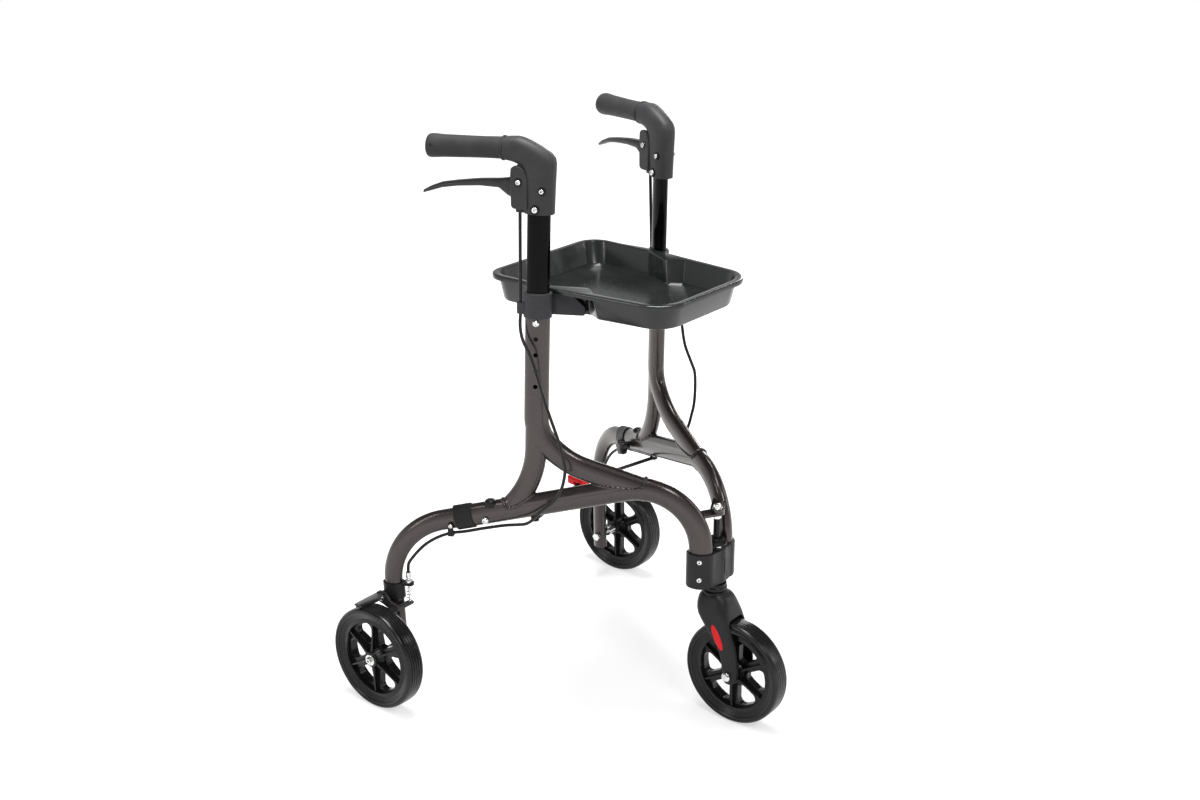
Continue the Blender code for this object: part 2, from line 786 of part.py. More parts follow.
def inlay_shape(face, play, inside, outside):
    """The long oval badge shape on a fork blade."""
    turn = math.radians(INLAY_TURN)
    outline = oval(INLAY_HALF[0] + play, INLAY_HALF[1] + play, 16)
    along = np.array([math.cos(turn), math.sin(turn)])
    beside = np.array([-math.sin(turn), math.cos(turn)])
    plan = np.array(INLAY_CENTRE) + outline[:, :1] * along + outline[:, 1:] * beside
    return loft([np.column_stack([np.full(len(plan), face * x), plan]) for x in (inside, outside)])


def wheel_rim():
    """A rim round the X axis: a ring and a hub joined by a pierced web with a fin on each spoke."""
    seat = SEAT_RADIUS - GAP
    half = TYRE_HALF_WIDTH - 2.4
    ring_profile = [(seat, -half), (seat, half), (67.0, half - 3.5), (60.5, half - 2.0)]
    ring_profile += [(60.5, 2.0 - half), (67.0, 3.5 - half)]
    bore = BOLT_RADIUS + HOLE_PLAY
    hub_profile = [(bore, -HUB_HALF), (12.5, -HUB_HALF), (14.0, -12.0), (18.5, -WEB_HALF + 1.0)]
    hub_profile += [(18.5, WEB_HALF - 1.0), (14.0, 12.0), (12.5, HUB_HALF), (bore, HUB_HALF)]
    web_profile = [(15.0, -WEB_HALF), (63.0, -WEB_HALF), (63.0, WEB_HALF), (15.0, WEB_HALF)]
    opening = [(27.0, -6.5, 6.0), (54.0, -21.5, 9.0), (54.0, 21.5, 9.0), (27.0, 6.5, 6.0)]
    openings = []
    fins = []
    for k in range(SPOKES):
        turn = 2 * math.pi * k / SPOKES
        openings.append(moved(slab(opening, -20.0, 20.0, "X", 0.0, 1), Matrix.Rotation(turn, 4, "X")))
        fin = []
        for radius, reach in ((11.5, 14.2), (64.0, 9.0)):
            corners = ((-reach, -1.3), (reach, -1.3), (reach, 1.3), (-reach, 1.3))
            fin.append(np.array([(x, radius, across_it) for x, across_it in corners]))
        fins.append(moved(loft(fin), Matrix.Rotation(turn + math.pi / SPOKES, 4, "X")))
    web = cut(lathe(web_profile, WHEEL_STEPS, "X", ring=True), *openings)
    ring_mesh = lathe(ring_profile, WHEEL_STEPS, "X", ring=True)
    wheel = joined(joined(web, *fins), ring_mesh)
    return joined(wheel, lathe(hub_profile, 12, "X", ring=True))


def wheel_tyre():
    half = TYRE_HALF_WIDTH
    profile = [
        (SEAT_RADIUS, half - 1.9),
        (79.0, half),
        (83.4, half - 1.3),
        (WHEEL_RADIUS, half - 5.5),
    ]
    profile += [(radius, -x) for radius, x in reversed(profile)]
    return lathe(profile, WHEEL_STEPS, "X", ring=True)


def rear_axle(side):
    """The axle bolt with the bright collar between hub and leg and the nut inside the leg."""
    x, y = REAR_WHEEL
    hub_inside = x - HUB_HALF
    leg_outside = 275.6
    centre = (0.0, y, WHEEL_RADIUS)
    shank = rod(BOLT_RADIUS, (248.0, y, WHEEL_RADIUS), (x + HUB_HALF + 2.0, y, WHEEL_RADIUS))
    collar = lathe([(8.0, leg_outside), (8.0, hub_inside - 0.4)], 12, "X", centre)
    head = lathe([(7.6, x + HUB_HALF + 0.4), (7.6, x + HUB_HALF + 3.5), (5.0, x + HUB_HALF + 6.0)], 12, "X", centre)
    nut = lathe([(7.5, 243.5), (7.5, 249.3)], 6, "X", centre)
    return moved(joined(shank, collar, head, nut), mirror_matrix(side))


def clamp_hook(side):
    """The collar on top of the upright with its tray arm and cable clip."""
    low, high = CLAMP_Z
    lip_z = UPRIGHT_TOP[1] + 0.8
    over_upright = grown(UPRIGHT_HALF, GAP)
    over_tube = grown(UPRIGHT_HALF, -UPRIGHT_WALL)
    profile = [
        (low, CLAMP_HALF),
        (high - 1.0, CLAMP_HALF),
        (high, grown(CLAMP_HALF, -1.0)),
        (high, over_tube),
        (lip_z, over_tube),
        (lip_z, over_upright),
        (low, over_upright),
    ]
    loops = []
    for z, half in profile:
        section = oval(half[0], half[1])
        loops.append(np.column_stack([section[:, 1], upright_s(z) + section[:, 0], np.full(OVAL_SIDES, z)]))
    collar = loft(loops, ring=True)
    arm_outline = [
        (176.0, low, 3.0),
        (226.0, low, 0.5),
        (226.0, high, 0.5),
        (203.0, high, 8.0),
        (176.0, 664.0, 3.0),
    ]
    arm = slab(arm_outline, ARM_LATERAL[0], ARM_LATERAL[1], "X")
    heel_outline = [(224.0, low, 0.5), (240.0, low, 0.5), (240.0, high - 2.0, 0.5), (224.0, high, 0.5)]
    heel = slab(heel_outline, ARM_LATERAL[0], -13.6, "X")
    clip_s, clip_low, clip_high = CABLE_CLIP
    clip_outline = [
        (-5.5, clip_s - 8.0, 0.5),
        (5.5, clip_s - 8.0, 0.5),
        (5.5, clip_s + 5.5, 5.0),
        (-5.5, clip_s + 5.5, 5.0),
    ]
    clip = slab(clip_outline, clip_low, clip_high, "Z", 0.4)
    body = joined(collar, arm, heel, clip)
    hole = rod(CABLE_RADIUS + GAP, (0.0, clip_s, clip_low - 5.0), (0.0, clip_s, clip_high + 5.0))
    inside = tube(upright_route(low - 5.0, lip_z), [over_upright])
    return moved(cut(body, hole, inside), side_matrix(side))


def lock_screw(side):
    z = hole_heights()[0]
    wall = UPRIGHT_HALF[1]
    foot = (wall - 1.0, upright_s(z), z)
    return cap_screw(side, foot, wall + GAP, 3.0, 5.0, 4.5)


RIM_CORNERS = [
    (112.0, 18.5, 38.0),
    (122.0, 110.0, 80.0),
    (130.5, 190.0, 30.0),
    (136.0, 240.0, 15.0),
    (131.5, 285.0, 60.0),
    (134.5, 351.0, 36.0),
]
WALL_CORNERS = [
    (103.0, 27.5, 32.0),
    (113.5, 110.0, 60.0),
    (116.5, 152.0, 10.0),
    (95.4, 177.1, 8.0),
    (124.4, 230.7, 14.0),
    (125.5, 342.0, 30.0),
]
FOOT_CORNERS = [
    (77.0, 38.0, 24.0),
    (82.0, 105.0, 60.0),
    (88.0, 150.0, 40.0),
    (91.0, 180.0, 40.0),
    (103.0, 240.0, 40.0),
    (105.5, 339.0, 22.0),
]


def tray_outline(share):
    """The wall's corners on both sides, from the foot (share 0) to the rim (share 1)."""
    corners = []
    for foot, top in zip(FOOT_CORNERS, WALL_CORNERS):
        corners.append(tuple(a + (b - a) * share for a, b in zip(foot, top)))
    return both_sides(corners)


def both_sides(corners):
    return corners + [(-x, y, radius) for x, y, radius in reversed(corners)]


def tray():
    """An open tray with a flat rim, sloped walls set back from the clamp arms, and a smooth floor."""
    top = TRAY_RIM_TOP
    under = top - RIM_THICK
    floor = TRAY_FLOOR_Z
    height = under - floor
    rim = both_sides(RIM_CORNERS)
    profile = [
        (floor, tray_outline(0.0), 4.0),
        (floor + 3.5, tray_outline(3.5 / height), 0.0),
        (under, tray_outline(1.0), 0.0),
        (under, rim, 0.0),
        (top - 1.0, rim, 0.0),
        (top, rim, 1.0),
        (top, tray_outline(1.0), TRAY_WALL - 0.5),
        (floor + TRAY_WALL + 5.0, tray_outline((TRAY_WALL + 5.0) / height), TRAY_WALL),
        (floor + TRAY_WALL, tray_outline(0.0), TRAY_WALL + 4.0),
    ]
    loops = []
    for z, corners, inset in profile:
        plan = rounded(corners, inset, 3)
        loops.append(np.column_stack([plan, np.full(len(plan), z)]))
    return loft(loops)


def handle_tube(side):
    half = grown(UPRIGHT_HALF, -UPRIGHT_WALL - GAP)
    return moved(tube(upright_route(600.0, HOUSING_FOOT_Z + 20.0), [half]), side_matrix(side))


def grip_axis(u):
    share = (u - GRIP_START[0]) / (GRIP_END[0] - GRIP_START[0])
    return GRIP_START[1] + (GRIP_END[1] - GRIP_START[1]) * share


def grip_housing(side):
    """The elbow over the handle tube, with the lever's lugs, the cable's seat and the grip's core."""
    steps = [(20.0,), (42.0,), (ELBOW_RADIUS, -90.0), (GRIP_START[0] - HOUSING_U - ELBOW_RADIUS,)]
    path = route((HOUSING_U, HOUSING_FOOT_Z), 90.0, steps)
    sizes = [(22.5, 14.5), (24.0, 15.2), (26.0, 15.6)]
    bend = len(path) - len(sizes) - 1
    for k in range(bend):
        share = (k + 1) / bend
        sizes.append((26.0 - 7.0 * share, 15.6 + 0.6 * share))
    sizes.append((16.8, 16.6))
    loops = []
    for station, size in zip(path, sizes):
        loops.append(across(station, rounded_section(*size)))
    elbow = loft(loops)
    end = path[-1][0]
    core_foot = (0.0, end - 6.0, grip_axis(end - 6.0))
    core = rod(CORE_RADIUS, core_foot, (0.0, CORE_END, grip_axis(CORE_END)), 12)
    lug_outline = [
        (10.0, 815.0, 3.0),
        (38.0, 815.0, 6.0),
        (39.0, 858.0, 10.0),
        (36.0, 884.0, 6.0),
        (10.0, 884.0, 3.0),
    ]
    lugs = slab(lug_outline, -LUG_OUTSIDE, LUG_OUTSIDE, "X", 0.8)
    seat = slab(
        [(-6.0, 20.0, 0.5), (6.0, 20.0, 0.5), (6.0, 36.0, 5.0), (-6.0, 36.0, 5.0)],
        HOUSING_FOOT_Z,
        HOUSING_FOOT_Z + 9.0,
    )
    body = joined(elbow, core, lugs, seat)
    pivot_u, pivot_z = LEVER_PIVOT
    slot_outline = [(19.6, 817.0, 1.0), (60.0, 817.0, 1.0), (60.0, 878.5, 1.0), (19.6, 878.5, 4.0)]
    slot = slab(slot_outline, -LUG_INSIDE, LUG_INSIDE, "X")
    pin_hole = rod(
        LEVER_PIN_RADIUS + 0.2,
        (-30.0, pivot_u, pivot_z),
        (30.0, pivot_u, pivot_z),
    )
    wire_hole = rod(1.6, (0.0, 30.0, 800.0), (0.0, 30.0, 830.0), 8)
    tube_half = grown(UPRIGHT_HALF, -UPRIGHT_WALL)
    tube_bore = tube(upright_route(HOUSING_FOOT_Z - 5.0, HOUSING_FOOT_Z + 20.0 + GAP), [tube_half])
    housing = moved(cut(body, slot, pin_hole, wire_hole), handle_matrix(side))
    return cut(housing, moved(tube_bore, side_matrix(side)))


def rounded_section(half_a, half_b):
    """A soft-cornered section, fuller than an oval."""
    turns = np.arange(SOFT_SIDES) * 2 * math.pi / SOFT_SIDES
    power = 0.78
    cosine = np.sign(np.cos(turns)) * np.abs(np.cos(turns)) ** power
    sine = np.sign(np.sin(turns)) * np.abs(np.sin(turns)) ** power
    return np.stack([half_a * cosine, half_b * sine], axis=1)


def grip(side):
    """The soft sleeve over the core, closed and a little thicker at its end."""
    start = GRIP_START[0] + GAP
    profile = [
        (CORE_RADIUS + GAP, CORE_END + 1.0),
        (CORE_RADIUS + GAP, start),
        (18.2, start),
        (18.2, start + 3.5),
        (GRIP_RADIUS - 0.4, start + 5.5),
        (GRIP_RADIUS - 0.7, GRIP_END[0] - 70.0),
        (GRIP_RADIUS, GRIP_END[0] - 24.0),
        (GRIP_RADIUS + 1.1, GRIP_END[0] - 6.0),
        (GRIP_RADIUS - 1.0, GRIP_END[0]),
    ]
    loops = []
    for radius, u in profile:
        turn = circle(radius, 16)
        height = grip_axis(u) + turn[:, 1]
        loops.append(np.column_stack([turn[:, 0], np.full(16, u), height]))
    return moved(loft(loops), handle_matrix(side))


def brake_lever(side):
    """The lever blade, drawn as stations of rearward place, top, foot and half width."""
    stations = [
        (21.4, 859.5, 849.5, 7.0),
        (24.0, 861.2, 842.0, 9.3),
        (31.0, 861.0, 832.0, 9.5),
        (38.0, 859.8, 827.5, 9.5),
        (47.0, 857.3, 831.0, 9.5),
        (60.0, 855.3, 841.5, 9.3),
        (90.0, 853.0, 842.3, 9.0),
        (126.0, 847.9, 839.2, 8.4),
        (150.0, 843.6, 835.0, 7.6),
        (168.0, 836.6, 829.0, 6.4),
        (180.0, 829.9, 825.2, 4.0),
    ]
    loops = []
    for u, top, foot, half in stations:
        section = rounded_section((top - foot) / 2, half)
        height = (top + foot) / 2 + section[:, 0]
        loops.append(np.column_stack([section[:, 1], np.full(SOFT_SIDES, u), height]))
    pivot_u, pivot_z = LEVER_PIVOT
    hole = rod(LEVER_PIN_RADIUS + 0.2, (-20.0, pivot_u, pivot_z), (20.0, pivot_u, pivot_z))
    return moved(cut(loft(loops), hole), handle_matrix(side))


def lever_pivot(side):
    """The pivot bolt of a brake lever, with its head on the same side of both handles."""
    out = -side
    u, z = LEVER_PIVOT
    end = LUG_OUTSIDE + GAP
    profile = [
        (LEVER_PIN_RADIUS, -out * LUG_OUTSIDE),
        (LEVER_PIN_RADIUS, out * end),
        (5.0, out * end),
        (5.0, out * (end + 2.0)),
        (3.6, out * (end + 3.2)),
    ]
    return moved(lathe(profile, SCREW_SIDES, "X", (0.0, u, z)), handle_matrix(side))


def brake_bracket(side):
    """A band round the leg with the cable's ear in front and the pivot's boss outside."""
    low, high = BRACKET_BAND_Z
    outer = grown(LEG_FOOT_HALF, 3.0)
    loops = []
    for z in (low, high):
        section = oval(outer[0], outer[1], 16)
        loops.append(np.column_stack([section[:, 1], leg_centre_s(z) + section[:, 0], np.full(16, z)]))
    ear_outline = [
        (-7.0, WIRE_S - 8.5, 6.0),
        (7.0, WIRE_S - 8.5, 6.0),
        (7.0, WIRE_S + 14.0, 0.5),
        (-7.0, WIRE_S + 14.0, 0.5),
    ]
    ear = slab(ear_outline, high - 4.0, high)
    band = moved(joined(loft(loops), ear), side_matrix(side))
    y, z = BRAKE_PIVOT
    boss = lathe([(9.0, 262.0), (9.0, BRAKE_PLATE_X[0] - GAP)], 18, "X", (0.0, y, z))
    body = joined(band, moved(boss, mirror_matrix(side)))
    leg_hole = []
    for level in (low - 20.0, high + 20.0):
        section = oval(LEG_FOOT_HALF[0] + GAP, LEG_FOOT_HALF[1] + GAP, OVAL_SIDES)
        place = leg_centre_s(level) + section[:, 0]
        leg_hole.append(np.column_stack([section[:, 1], place, np.full(OVAL_SIDES, level)]))
    pin_hole = moved(rod(3.2, (275.8, y, z), (300.0, y, z)), mirror_matrix(side))
    wire_hole = rod(3.3, (0.0, WIRE_S, high - 10.0), (0.0, WIRE_S, high + 10.0))
    return cut(
        body,
        moved(loft(leg_hole), side_matrix(side)),
        pin_hole,
        moved(wire_hole, side_matrix(side)),
    )


def shoe_arc(inner, outer, start, end, low, high, steps):
    """A block over the tyre between two radii and two angles rearward of its top."""
    angles = np.radians(np.linspace(start, end, steps))
    plan = []
    for radius, turn in ((inner, angles), (outer, angles[::-1])):
        for angle in turn:
            plan.append((REAR_WHEEL[1] + radius * math.sin(angle), WHEEL_RADIUS + radius * math.cos(angle)))
    plan = np.array(plan)
    return loft([np.column_stack([np.full(len(plan), x), plan]) for x in (low, high)])


def brake_arm(side):
    """The pivoted arm: a plate beside the leg, a toe under the spring and a shelf over the tyre."""
    y, z = BRAKE_PIVOT
    plate_outline = [
        (463.0, 161.0, 3.0),
        (463.0, 172.0, 5.0),
        (456.0, 180.0, 8.0),
        (440.0, 180.0, 8.0),
        (431.0, 168.0, 8.0),
        (413.0, 163.0, 3.0),
        (413.0, 155.5, 3.0),
        (434.0, 155.5, 10.0),
        (452.0, 161.0, 6.0),
    ]
    plate = slab(plate_outline, BRAKE_PLATE_X[0], BRAKE_PLATE_X[1], "X")
    wire = side_point(1, 0.0, WIRE_S, 0.0)
    toe = box((wire[0] - 6.0, 413.6, 155.9), (BRAKE_PLATE_X[1] - 1.0, 422.6, SPRING_Z[0] - GAP))
    shelf_in = WHEEL_RADIUS + SHOE_GAP + SHOE_THICK + GAP
    shelf_out = shelf_in + 3.0
    x_in = REAR_WHEEL[0] - SHOE_HALF_WIDTH - 1.5
    x_out = REAR_WHEEL[0] + SHOE_HALF_WIDTH + 1.5
    shelf = shoe_arc(shelf_in, shelf_out, SHOE_ARC[0], SHOE_ARC[1], x_in, x_out, 4)
    neck = shoe_arc(shelf_in, shelf_out, SHOE_ARC[0] + 2.0, SHOE_ARC[1], BRAKE_PLATE_X[0] + 0.8, x_in + 1.0, 4)
    body = joined(plate, toe, shelf, neck)
    pin_hole = rod(3.2, (260.0, y, z), (300.0, y, z))
    wire_hole = rod(1.4, (wire[0], wire[1], 140.0), (wire[0], wire[1], 170.0), 8)
    return moved(cut(body, pin_hole, wire_hole), mirror_matrix(side))


def brake_shoe(side):
    inner = WHEEL_RADIUS + SHOE_GAP
    x_in = REAR_WHEEL[0] - SHOE_HALF_WIDTH
    x_out = REAR_WHEEL[0] + SHOE_HALF_WIDTH
    pad = shoe_arc(inner, inner + SHOE_THICK, SHOE_ARC[0], SHOE_ARC[1], x_in, x_out, 4)
    return moved(pad, mirror_matrix(side))


def brake_pivot(side):
    y, z = BRAKE_PIVOT
    end = BRAKE_PLATE_X[1] + GAP
    foot = BRAKE_PLATE_X[0] - 3.6
    profile = [(2.95, foot), (2.95, end), (5.5, end), (5.5, end + 2.6), (3.8, end + 4.0)]
    return moved(lathe(profile, SCREW_SIDES, "X", (0.0, y, z)), mirror_matrix(side))


def cable_adjuster(side):
    """The threaded barrel through the ear with its lock nut and knurled head."""
    ear_top = BRACKET_BAND_Z[1]
    profile = [
        (1.3, ear_top - 3.8),
        (3.0, ear_top - 3.8),
        (3.0, ear_top + GAP),
        (5.5, ear_top + GAP),
        (5.5, ear_top + 4.0),
        (3.0, ear_top + 4.0),
        (3.0, ear_top + 8.0),
        (4.2, ear_top + 8.6),
        (4.2, ADJUSTER_TOP_Z),
        (1.3, ADJUSTER_TOP_Z),
    ]
    return moved(lathe(profile, 8, "Z", (0.0, WIRE_S, 0.0), ring=True), side_matrix(side))


def spring_points(side):
    """A spring wound round the wire, its two ends straight for one wire diameter."""
    low, high = SPRING_Z
    straight = 2 * SPRING_WIRE
    start_z = low + SPRING_WIRE + 0.1
    end_z = high - SPRING_WIRE - 0.1
    count = SPRING_CURLS * 8
    points = []
    for k in range(count + 1):
        angle = 2 * math.pi * SPRING_CURLS * k / count
        z = start_z + (end_z - start_z) * k / count
        points.append((SPRING_RADIUS * math.sin(angle), SPRING_RADIUS * math.cos(angle), z))
    first = (-straight, SPRING_RADIUS, start_z)
    last = (straight, SPRING_RADIUS, end_z)
    centre = np.array([0.0, WIRE_S, 0.0])
    local = np.array([first, *points, last]) + centre
    return placed_points(local, side_matrix(side)), local


def least_own_gap(points, radius, near):
    """The smallest distance between turns of one wire, leaving out points near along it."""
    least = math.inf
    for i in range(len(points)):
        for j in range(i + near, len(points)):
            least = min(least, float(np.linalg.norm(points[i] - points[j])))
    return least - 2 * radius


def placed_points(points, matrix):
    return np.array([tuple(matrix @ Vector(point)) for point in points])


def upper_cable_points(side):
    seat = handle_matrix(side) @ Vector((0.0, 30.0, HOUSING_FOOT_Z - GAP))
    clip = side_point(side, 0.0, CABLE_CLIP[0], CABLE_CLIP[2] + GAP)
    middle = (seat + clip) / 2
    knots = [tuple(seat), tuple((seat + middle) / 2), tuple(middle), tuple((middle + clip) / 2), tuple(clip)]
    return np.array(knots)


def lower_cable_points(side):
    """The cable from the clamp's clip, out round the upright, under the beam and down to the leg."""
    clip_s, clip_low, clip_high = CABLE_CLIP
    knots = [
        (0.0, clip_s, clip_high - 0.5),
        (0.0, clip_s, clip_low),
        (0.0, clip_s + 1.0, 644.0),
        (13.0, 266.0, 622.0),
        (29.0, 251.0, 600.0),
        (36.5, 241.6, 580.0),
        (39.6, 233.8, 555.0),
        (40.5, 226.2, 530.0),
        (45.6, 216.5, 506.0),
        (50.5, 208.5, 487.0),
        (50.0, 203.2, 470.0),
        (47.5, 198.6, 447.0),
        (44.6, 196.4, 429.0),
        (41.1, 198.5, 410.0),
        (39.5, 202.0, 396.0),
        (37.0, 208.9, 380.0),
        (33.0, 219.4, 365.0),
        (28.0, 235.0, 350.0),
        (23.5, 248.2, 335.0),
        (18.5, 258.0, 321.0),
        (14.0, 271.0, 312.0),
        (8.0, 286.0, 307.0),
        (3.0, 301.0, 303.5),
        (0.0, 335.0, 295.0),
        (0.0, 369.0, 287.0),
        (0.0, 388.0, 281.5),
        (0.0, 408.0, 272.0),
        (0.0, 428.0, 261.0),
        (0.0, 444.0, 247.0),
        (0.0, 455.0, 235.0),
        (0.0, WIRE_S, ADJUSTER_TOP_Z + 12.0),
        (0.0, WIRE_S, ADJUSTER_TOP_Z + 6.0),
        (0.0, WIRE_S, ADJUSTER_TOP_Z + GAP),
    ]
    points = smooth_route(knots, 6.0 * CABLE_RADIUS)
    return placed_points(points, side_matrix(side))


def cord_length(points):
    return float(np.linalg.norm(np.diff(points, axis=0), axis=1).sum())


def fold_brace(side):
    """A flat link from the bolt under the beam to the middle of the rollator."""
    low = BRACE_Z[side]
    start = side_point(side, 0.0, BRACE_S, 0.0)
    end = np.array([-side * 6.0, 268.0])
    start = np.array([start[0], start[1]])
    along = (end - start) / np.linalg.norm(end - start)
    normal = np.array([-along[1], along[0]])
    plan = []
    for centre, out in ((start, -1.0), (end, 1.0)):
        for k in range(7):
            angle = math.pi * (k / 6 - 0.5)
            plan.append(centre + out * BRACE_HALF_WIDTH * (along * math.cos(angle) + normal * math.sin(angle)))
    plan = np.array(plan)
    link = loft([np.column_stack([plan, np.full(len(plan), z)]) for z in (low, low + BRACE_THICK)])
    x, y = start
    bolt = rod(3.0, (x, y, low + 0.5), (x, y, 334.0))
    head = hexagon(10.0, low - 4.5, low + 0.5, (x, y))
    spacer = lathe([(6.5, low + BRACE_THICK - 0.5), (6.5, beam_foot_z(BRACE_S + 6.5) - GAP)], 14, "Z", (x, y, 0.0))
    body = joined(link, bolt, head, spacer)
    if side > 0:
        slot = [(-9.0, 264.0, 3.9), (9.0, 264.0, 3.9), (9.0, 272.0, 3.9), (-9.0, 272.0, 3.9)]
        return cut(body, slab(slot, low - 10.0, low + 20.0))
    return cut(body, rod(3.3, (0.0, 268.0, low - 10.0), (0.0, 268.0, low + 20.0)))


def beam_foot_z(s):
    return beam_centre_z(s) - BEAM_HALF[0] / math.cos(math.radians(BEAM_SLOPE))


def fold_release():
    """The red pull on the middle of the brace, with its pin through both links."""
    top = BRACE_Z[1] + BRACE_THICK
    outline = [(-12.0, 254.0, 9.0), (12.0, 254.0, 9.0), (9.5, 292.0, 8.0), (-9.5, 292.0, 8.0)]
    pull = slab(outline, top + GAP, top + 11.0, "Z", 1.5)
    pin = rod(3.0, (0.0, 268.0, BRACE_Z[-1] - 3.0), (0.0, 268.0, top + 2.0))
    foot = lathe([(5.5, BRACE_Z[-1] - 3.0), (5.5, BRACE_Z[-1] - GAP)], 14, "Z", (0.0, 268.0, 0.0))
    finger_hole = [(-5.5, 274.0, 5.0), (5.5, 274.0, 5.0), (4.5, 286.5, 4.0), (-4.5, 286.5, 4.0)]
    return cut(joined(pull, pin, foot), slab(finger_hole, top - 5.0, top + 20.0))


def build():
    for obj in list(bpy.data.objects):
        bpy.data.objects.remove(obj, do_unlink=True)
    top = carrier("rollator", (0.0, 0.0, 0.0))
    caster = carrier("caster_swivel", (0.0, 0.0, COLUMN_FOOT_Z), top)
    wheel_point = caster_matrix() @ Vector((0.0, -CASTER_TRAIL, WHEEL_RADIUS))
    front_wheel = carrier("front_wheel_spin", wheel_point, caster)
    tray_lift = carrier("tray_lift", (0.0, 200.0, TRAY_RIM_TOP), top)
    rim = wheel_rim()
    tyre = wheel_tyre()

    node("column_tube", column_tube(), DARK_STEEL, top)
    node("hinge_bolt", hinge_bolt(), ZINC, top)
    node("caster_fork", moved(caster_fork(), caster_matrix()), BLACK_PLASTIC, caster)
    node("fork_stem", rod(STEM_RADIUS, (0.0, 0.0, STEM_FOOT_Z), (0.0, 0.0, STEM_TOP_Z), 16), ZINC, caster)
    for face, label in ((-1, "right"), (1, "left")):
        inlay = inlay_shape(face, 0.0, FORK_OUTSIDE - INLAY_DEPTH + GAP, FORK_OUTSIDE + 0.4)
        node(f"fork_inlay_{label}", moved(inlay, caster_matrix()), RED, caster)
    node("front_axle", moved(front_axle(), caster_matrix()), ZINC, caster)
    to_wheel = caster_matrix()
    to_wheel.translation = wheel_point
    node("front_rim", moved(rim, to_wheel), WHEEL_BLACK, front_wheel)
    node("front_tyre", moved(tyre, to_wheel), TYRE_BLACK, front_wheel)
    node("tray", tray(), TRAY_GREY, tray_lift)

    for side, label in ((-1, "right"), (1, "left")):
        build_side(side, label, top, rim, tyre)
    centre_on_base(top)


def front_axle():
    centre = (0.0, -CASTER_TRAIL, WHEEL_RADIUS)
    reach = FORK_OUTSIDE + GAP
    profile = [
        (5.5, -reach - 5.5),
        (7.6, -reach - 3.2),
        (7.6, -reach),
        (BOLT_RADIUS, -reach),
        (BOLT_RADIUS, reach),
        (7.6, reach),
        (7.6, reach + 5.5),
        (5.5, reach + 6.5),
    ]
    return lathe(profile, 12, "X", centre)


def build_side(side, label, top, rim, tyre):
    """Adds every piece of one side."""
    fold = carrier(f"fold_{label}", (0.0, 0.0, EAR_Z[side]), top)
    slide_point = side_point(side, 0.0, *UPRIGHT_TOP)
    handle = carrier(f"height_{label}", slide_point, fold)
    lever_point = handle_matrix(side) @ Vector((0.0, *LEVER_PIVOT))
    lever = carrier(f"lever_{label}", lever_point, handle)
    wheel_point = (side * REAR_WHEEL[0], REAR_WHEEL[1], WHEEL_RADIUS)
    wheel = carrier(f"rear_wheel_spin_{label}", wheel_point, fold)
    brake_x = side * BRAKE_PLATE_X[1]
    brake = carrier(f"brake_{label}", (brake_x, *BRAKE_PIVOT), fold)

    node(f"side_frame_{label}", side_frame(side), PAINT, fold)
    node(f"rear_leg_{label}", rear_leg(side), PAINT, fold)
    node(f"leg_sleeve_{label}", leg_sleeve(side), BLACK_PLASTIC, fold)
    bolt_foot = (-3.0, *LEG_BOLT)
    node(f"leg_bolt_{label}", cap_screw(side, bolt_foot, 12.4, 3.0, 5.4, 4.0), ZINC, fold)
    node(f"front_bracket_{label}", front_bracket(side), BLACK_PLASTIC, fold)
    node(f"clamp_hook_{label}", clamp_hook(side), CLAMP_GREY, fold)
    node(f"lock_screw_{label}", lock_screw(side), ZINC, fold)
    node(f"fold_brace_{label}", fold_brace(side), DARK_STEEL, fold)
    if side < 0:
        node("fold_release", fold_release(), RED, fold)

    node(f"handle_tube_{label}", handle_tube(side), BLACK_TUBE, handle)
    node(f"grip_housing_{label}", grip_housing(side), CLAMP_GREY, handle)
    node(f"grip_{label}", grip(side), GRIP_RUBBER, handle)
    node(f"lever_pivot_{label}", lever_pivot(side), ZINC, handle)
    node(f"brake_lever_{label}", brake_lever(side), BLACK_PLASTIC, lever)

    upper = upper_cable_points(side)
    lower = lower_cable_points(side)
    cord(f"upper_cable_{label}", upper, CABLE_RADIUS, 2, CABLE_BLACK, fold)
    cord(f"lower_cable_{label}", lower, CABLE_RADIUS, 2, CABLE_BLACK, fold)
    print(f"cable lengths {label} mm: {cord_length(upper):.0f} and {cord_length(lower):.0f}")
    node(f"cable_adjuster_{label}", cable_adjuster(side), ZINC, fold)

    node(f"brake_bracket_{label}", brake_bracket(side), BLACK_PLASTIC, fold)
    node(f"brake_arm_{label}", brake_arm(side), DARK_STEEL, brake)
    node(f"brake_shoe_{label}", brake_shoe(side), BLACK_PLASTIC, brake)
    node(f"brake_pivot_{label}", brake_pivot(side), ZINC, fold)
    wound, flat = spring_points(side)
    gap = least_own_gap(flat, SPRING_WIRE, 6)
    print(f"spring {label}: least gap to itself {gap:.2f} mm")
    cord(f"brake_spring_{label}", wound, SPRING_WIRE, 1, ZINC, fold)

    to_wheel = Matrix.Translation(Vector(wheel_point)) @ mirror_matrix(side)
    node(f"rear_rim_{label}", moved(rim, to_wheel), WHEEL_BLACK, wheel)
    node(f"rear_tyre_{label}", moved(tyre, to_wheel), TYRE_BLACK, wheel)
    node(f"rear_axle_{label}", rear_axle(side), ZINC, fold)


